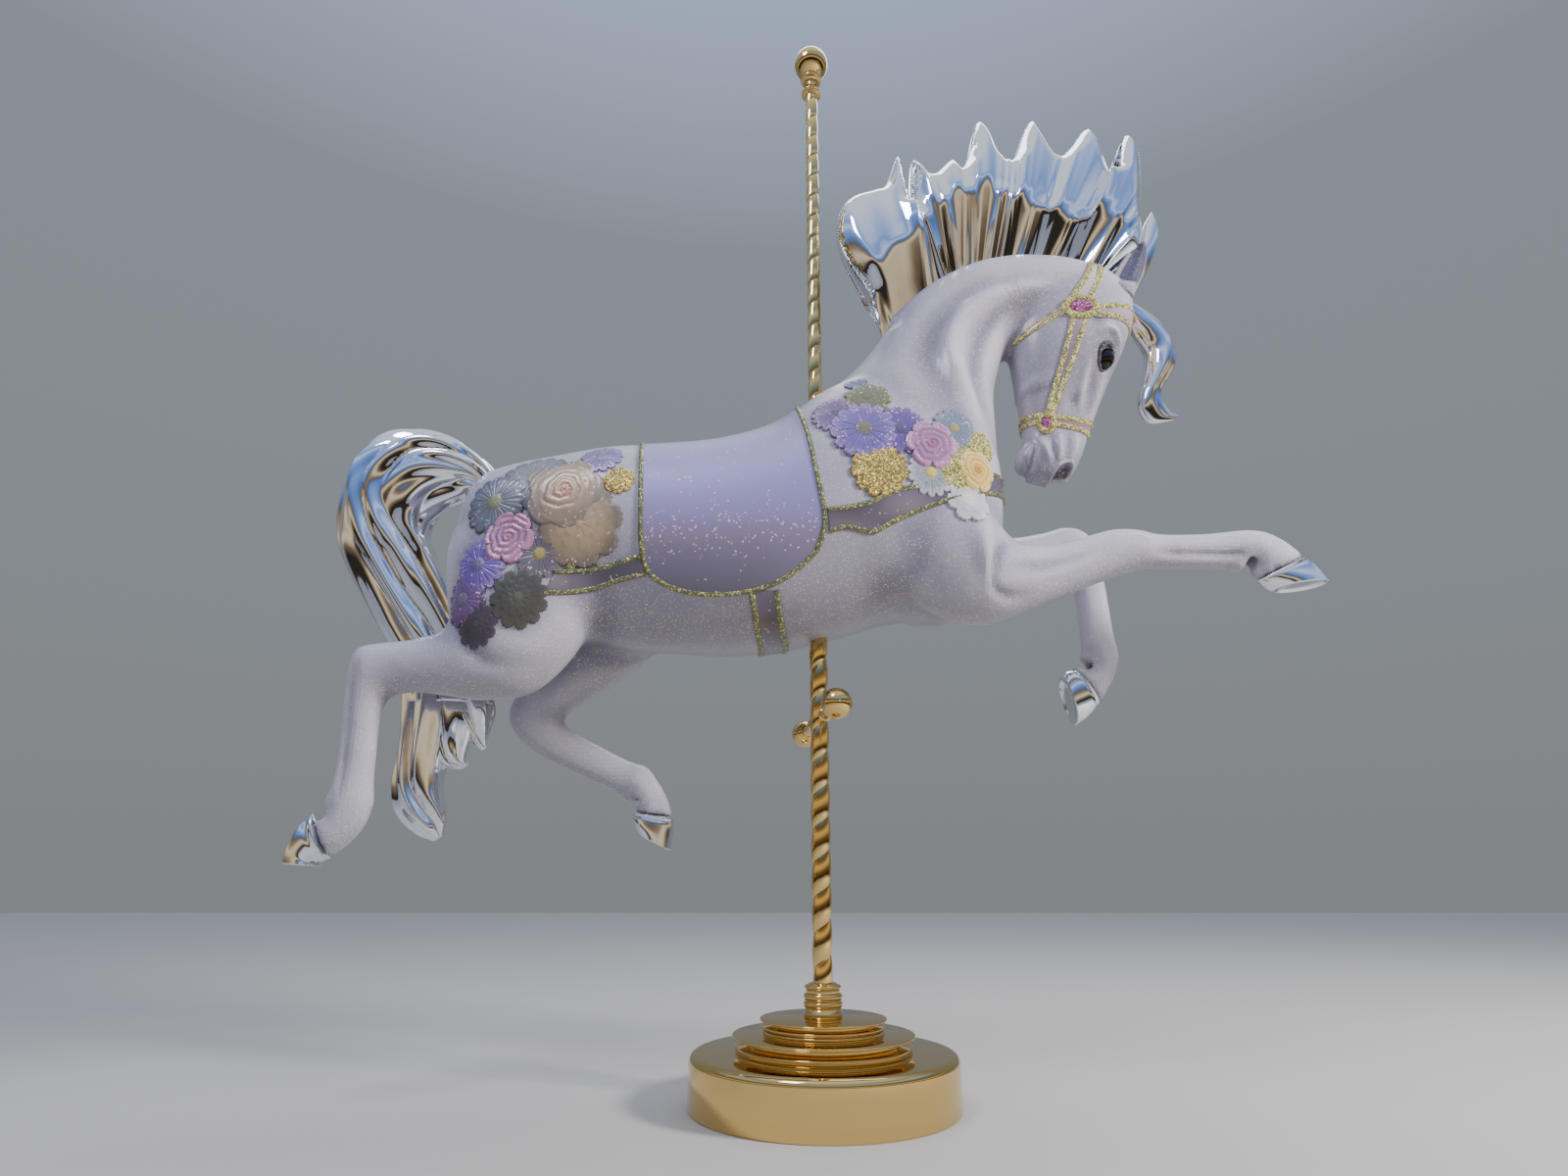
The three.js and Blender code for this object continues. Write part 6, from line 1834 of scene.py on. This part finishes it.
def flower(row, side):
    """One flower as a closed skin, its material, and the tint of each of its points."""
    kind, petals, x, z, radius, stand, *colours, sparkle = row
    spokes = max(SPOKES_PER_PETAL * petals, FEWEST_SPOKES)
    rho, angle, height = flower_relief(kind, petals, FLOWER_RINGS, spokes)
    place, right, up, out = seat(x, z, side, radius / 3)
    spin = (x * 7 + z * 3) % 360 / 57.3  # some turn of its own for each flower
    skin = round_net(place, right, up, rho, angle + spin, radius * SPREAD[0], radius * SPREAD[1])
    raised = skin + out * ((0.35 * (height > 0) + 0.65 * height) * stand)[..., None]
    raised[-1] -= out * SUNK
    made = tube(raised[::-1])
    paint = GOLDS.get(colours[0], petal_paint)
    middle, petal, tip = [GOLD_UNDER] * 3 if colours[0] in GOLDS else colours
    tones = between(rho.ravel(), [0.15, 0.3, 0.6, 1.0], [middle, petal, petal, tip])
    # painted shade in the low relief between petals, painted highlight on the high parts
    shade = np.clip(0.42 + 0.75 * height, 0.3, 1.15).ravel()[:, None]
    tones = tones * np.concatenate((shade.repeat(3, 1), np.ones_like(shade)), 1)
    tones[:, 3] = min(sparkle, 1) * 0.25 + sparkle * held(rho.ravel() - 0.45)
    tones = tones.reshape(*rho.shape, 4)[::-1].reshape(-1, 4)
    tones = np.concatenate((tones, tones[[0, -1]]))
    return made, paint, tones


for region, table in (("chest", CHEST_FLOWERS), ("rump", RUMP_FLOWERS)):
    for name, side in SIDES.items():
        rows = table if side < 0 else [table[k] for k in FAR_FLOWERS[region]]
        made = [flower(row, side) for row in rows]
        title = region + "_flowers_" + name
        skins, paints, tones = zip(*made)
        garland = new_piece(title + "_relief", skins, paints)
        tint_points(garland, np.concatenate(tones))
        dress(garland, "petal_paint", title)

# %% [markdown]
# # The floor
# The stand is on a plain pale floor that runs out of the picture on every side. It is matt, so it takes
# soft shadows, and the chrome and the brass mirror it.

# %% Floor
FLOOR_REACH = 9000

floor_paint, shader = new_finish("pale_floor")
shader["Base Color"].default_value = linear("#B9B6B2")
shader["Roughness"].default_value = 0.6
corners = np.array([[-1, -1, 0], [1, -1, 0], [1, 1, 0], [-1, 1, 0]]) * FLOOR_REACH
floor = new_piece("floor", [(corners, [np.array([[0, 1, 2, 3]])])], [floor_paint])
print(floor.name, 2 * FLOOR_REACH, "mm wide")

# %% [markdown]
# # The studio
# A mirror shows only what stands round it, so under an even sky the chrome would be flat grey. The studio
# has two halves. Behind the horse hangs a plain grey backdrop. On the watcher's side is the room that the
# metals mirror: a dark wall below, a warm lit band at the height of the horizon, and a cool bright ceiling
# in stripes. Each half is a ramp of colours over the slope of a direction, from straight down to straight
# up, and the two blend where directions pass from the one half to the other.

# %% Studio
BACKDROP = [(0.45, "#818385"), (0.6, "#868B90"), (0.82, "#8A929A"), (0.9, "#A9B8D4"), (0.96, "#FFFFFF")]
ROOM = [
    (0.4, "#322E29"), (0.49, "#312C26"), (0.53, "#7A6A54"), (0.56, "#D6C09C"), (0.59, "#E4D2B2"),
    (0.62, "#A38D6D"), (0.655, "#6C655C"), (0.69, "#5C7EBE"), (0.75, "#88AAEA"), (0.79, "#D6E4FF"),
    (0.83, "#83A5E6"), (0.88, "#B8CEFA"), (0.93, "#EEF4FF"),
]
BLEND = [0.12, 0.45]  # how far to the rear a direction points where the room ends and the backdrop starts

world = bpy.data.worlds.new("studio")
bpy.context.scene.world = world
world.use_nodes = True
sky = world.node_tree.nodes["Background"]
sky.inputs["Strength"].default_value = 1.0
toward = add_node(world, "TexCoord")["Generated"]
parts = add_node(world, "SeparateXYZ", {"Vector": toward})
share = add_node(world, "MapRange", {"Value": parts["Z"], "From Min": -1.0})["Result"]
halves = []
for stops in (ROOM, BACKDROP):
    ramp = add_node(world, "ValToRGB", {"Fac": share})["Color"]
    marks = ramp.node.color_ramp.elements
    marks[0].color, marks[1].color = linear(stops[0][1]), linear(stops[-1][1])
    for place, colour in stops:
        marks.new(place).color = linear(colour)
    halves.append(ramp)
behind = add_node(world, "MapRange", {
    "Value": parts["Y"], "From Min": BLEND[0], "From Max": BLEND[1],
})["Result"]
studio = add_node(world, "Mix", {"Factor": behind, "A": halves[0], "B": halves[1]}, data_type="RGBA")
link(world, studio["Result"], sky.inputs["Color"])
print(world.name, "of", len(ROOM) + len(BACKDROP), "colours")

# %% [markdown]
# # The lamps
# Three soft square lamps light the horse. The key stands ahead of it and lights the chest, the face and the
# fore legs. Its square would stand out in the chrome, so mirrors don't see it. The fill lifts the shadows of
# the near side, and the top lamp draws the back, the neck and the saddle.

# %% Lamps
def softbox(name, place, aim, size, power, colour, mirrored=True):
    """A square area light at a place, turned to look at another. It may be kept out of mirrors."""
    lamp = bpy.data.lights.new(name, "AREA")
    lamp.size = size
    lamp.energy = power
    lamp.color = linear(colour)[:3]
    stand = bpy.data.objects.new(name, lamp)
    stand.location = place
    stand.rotation_euler = (Vector(aim) - Vector(place)).to_track_quat("-Z", "Y").to_euler()
    stand.visible_glossy = mirrored
    bpy.context.scene.collection.objects.link(stand)


softbox("key", (4.0, -1.9, 2.9), (0, 0, 1.2), 1.0, 400, "#FFFBF4", mirrored=False)
softbox("fill", (-1.9, -2.3, 4.6), (0, 0, 1.3), 1.2, 70, "#F4F4FF")
softbox("top", (0.5, 1.2, 4.5), (0, 0, 1.2), 2.0, 40, "#F2F5FF")
print("studio lit")
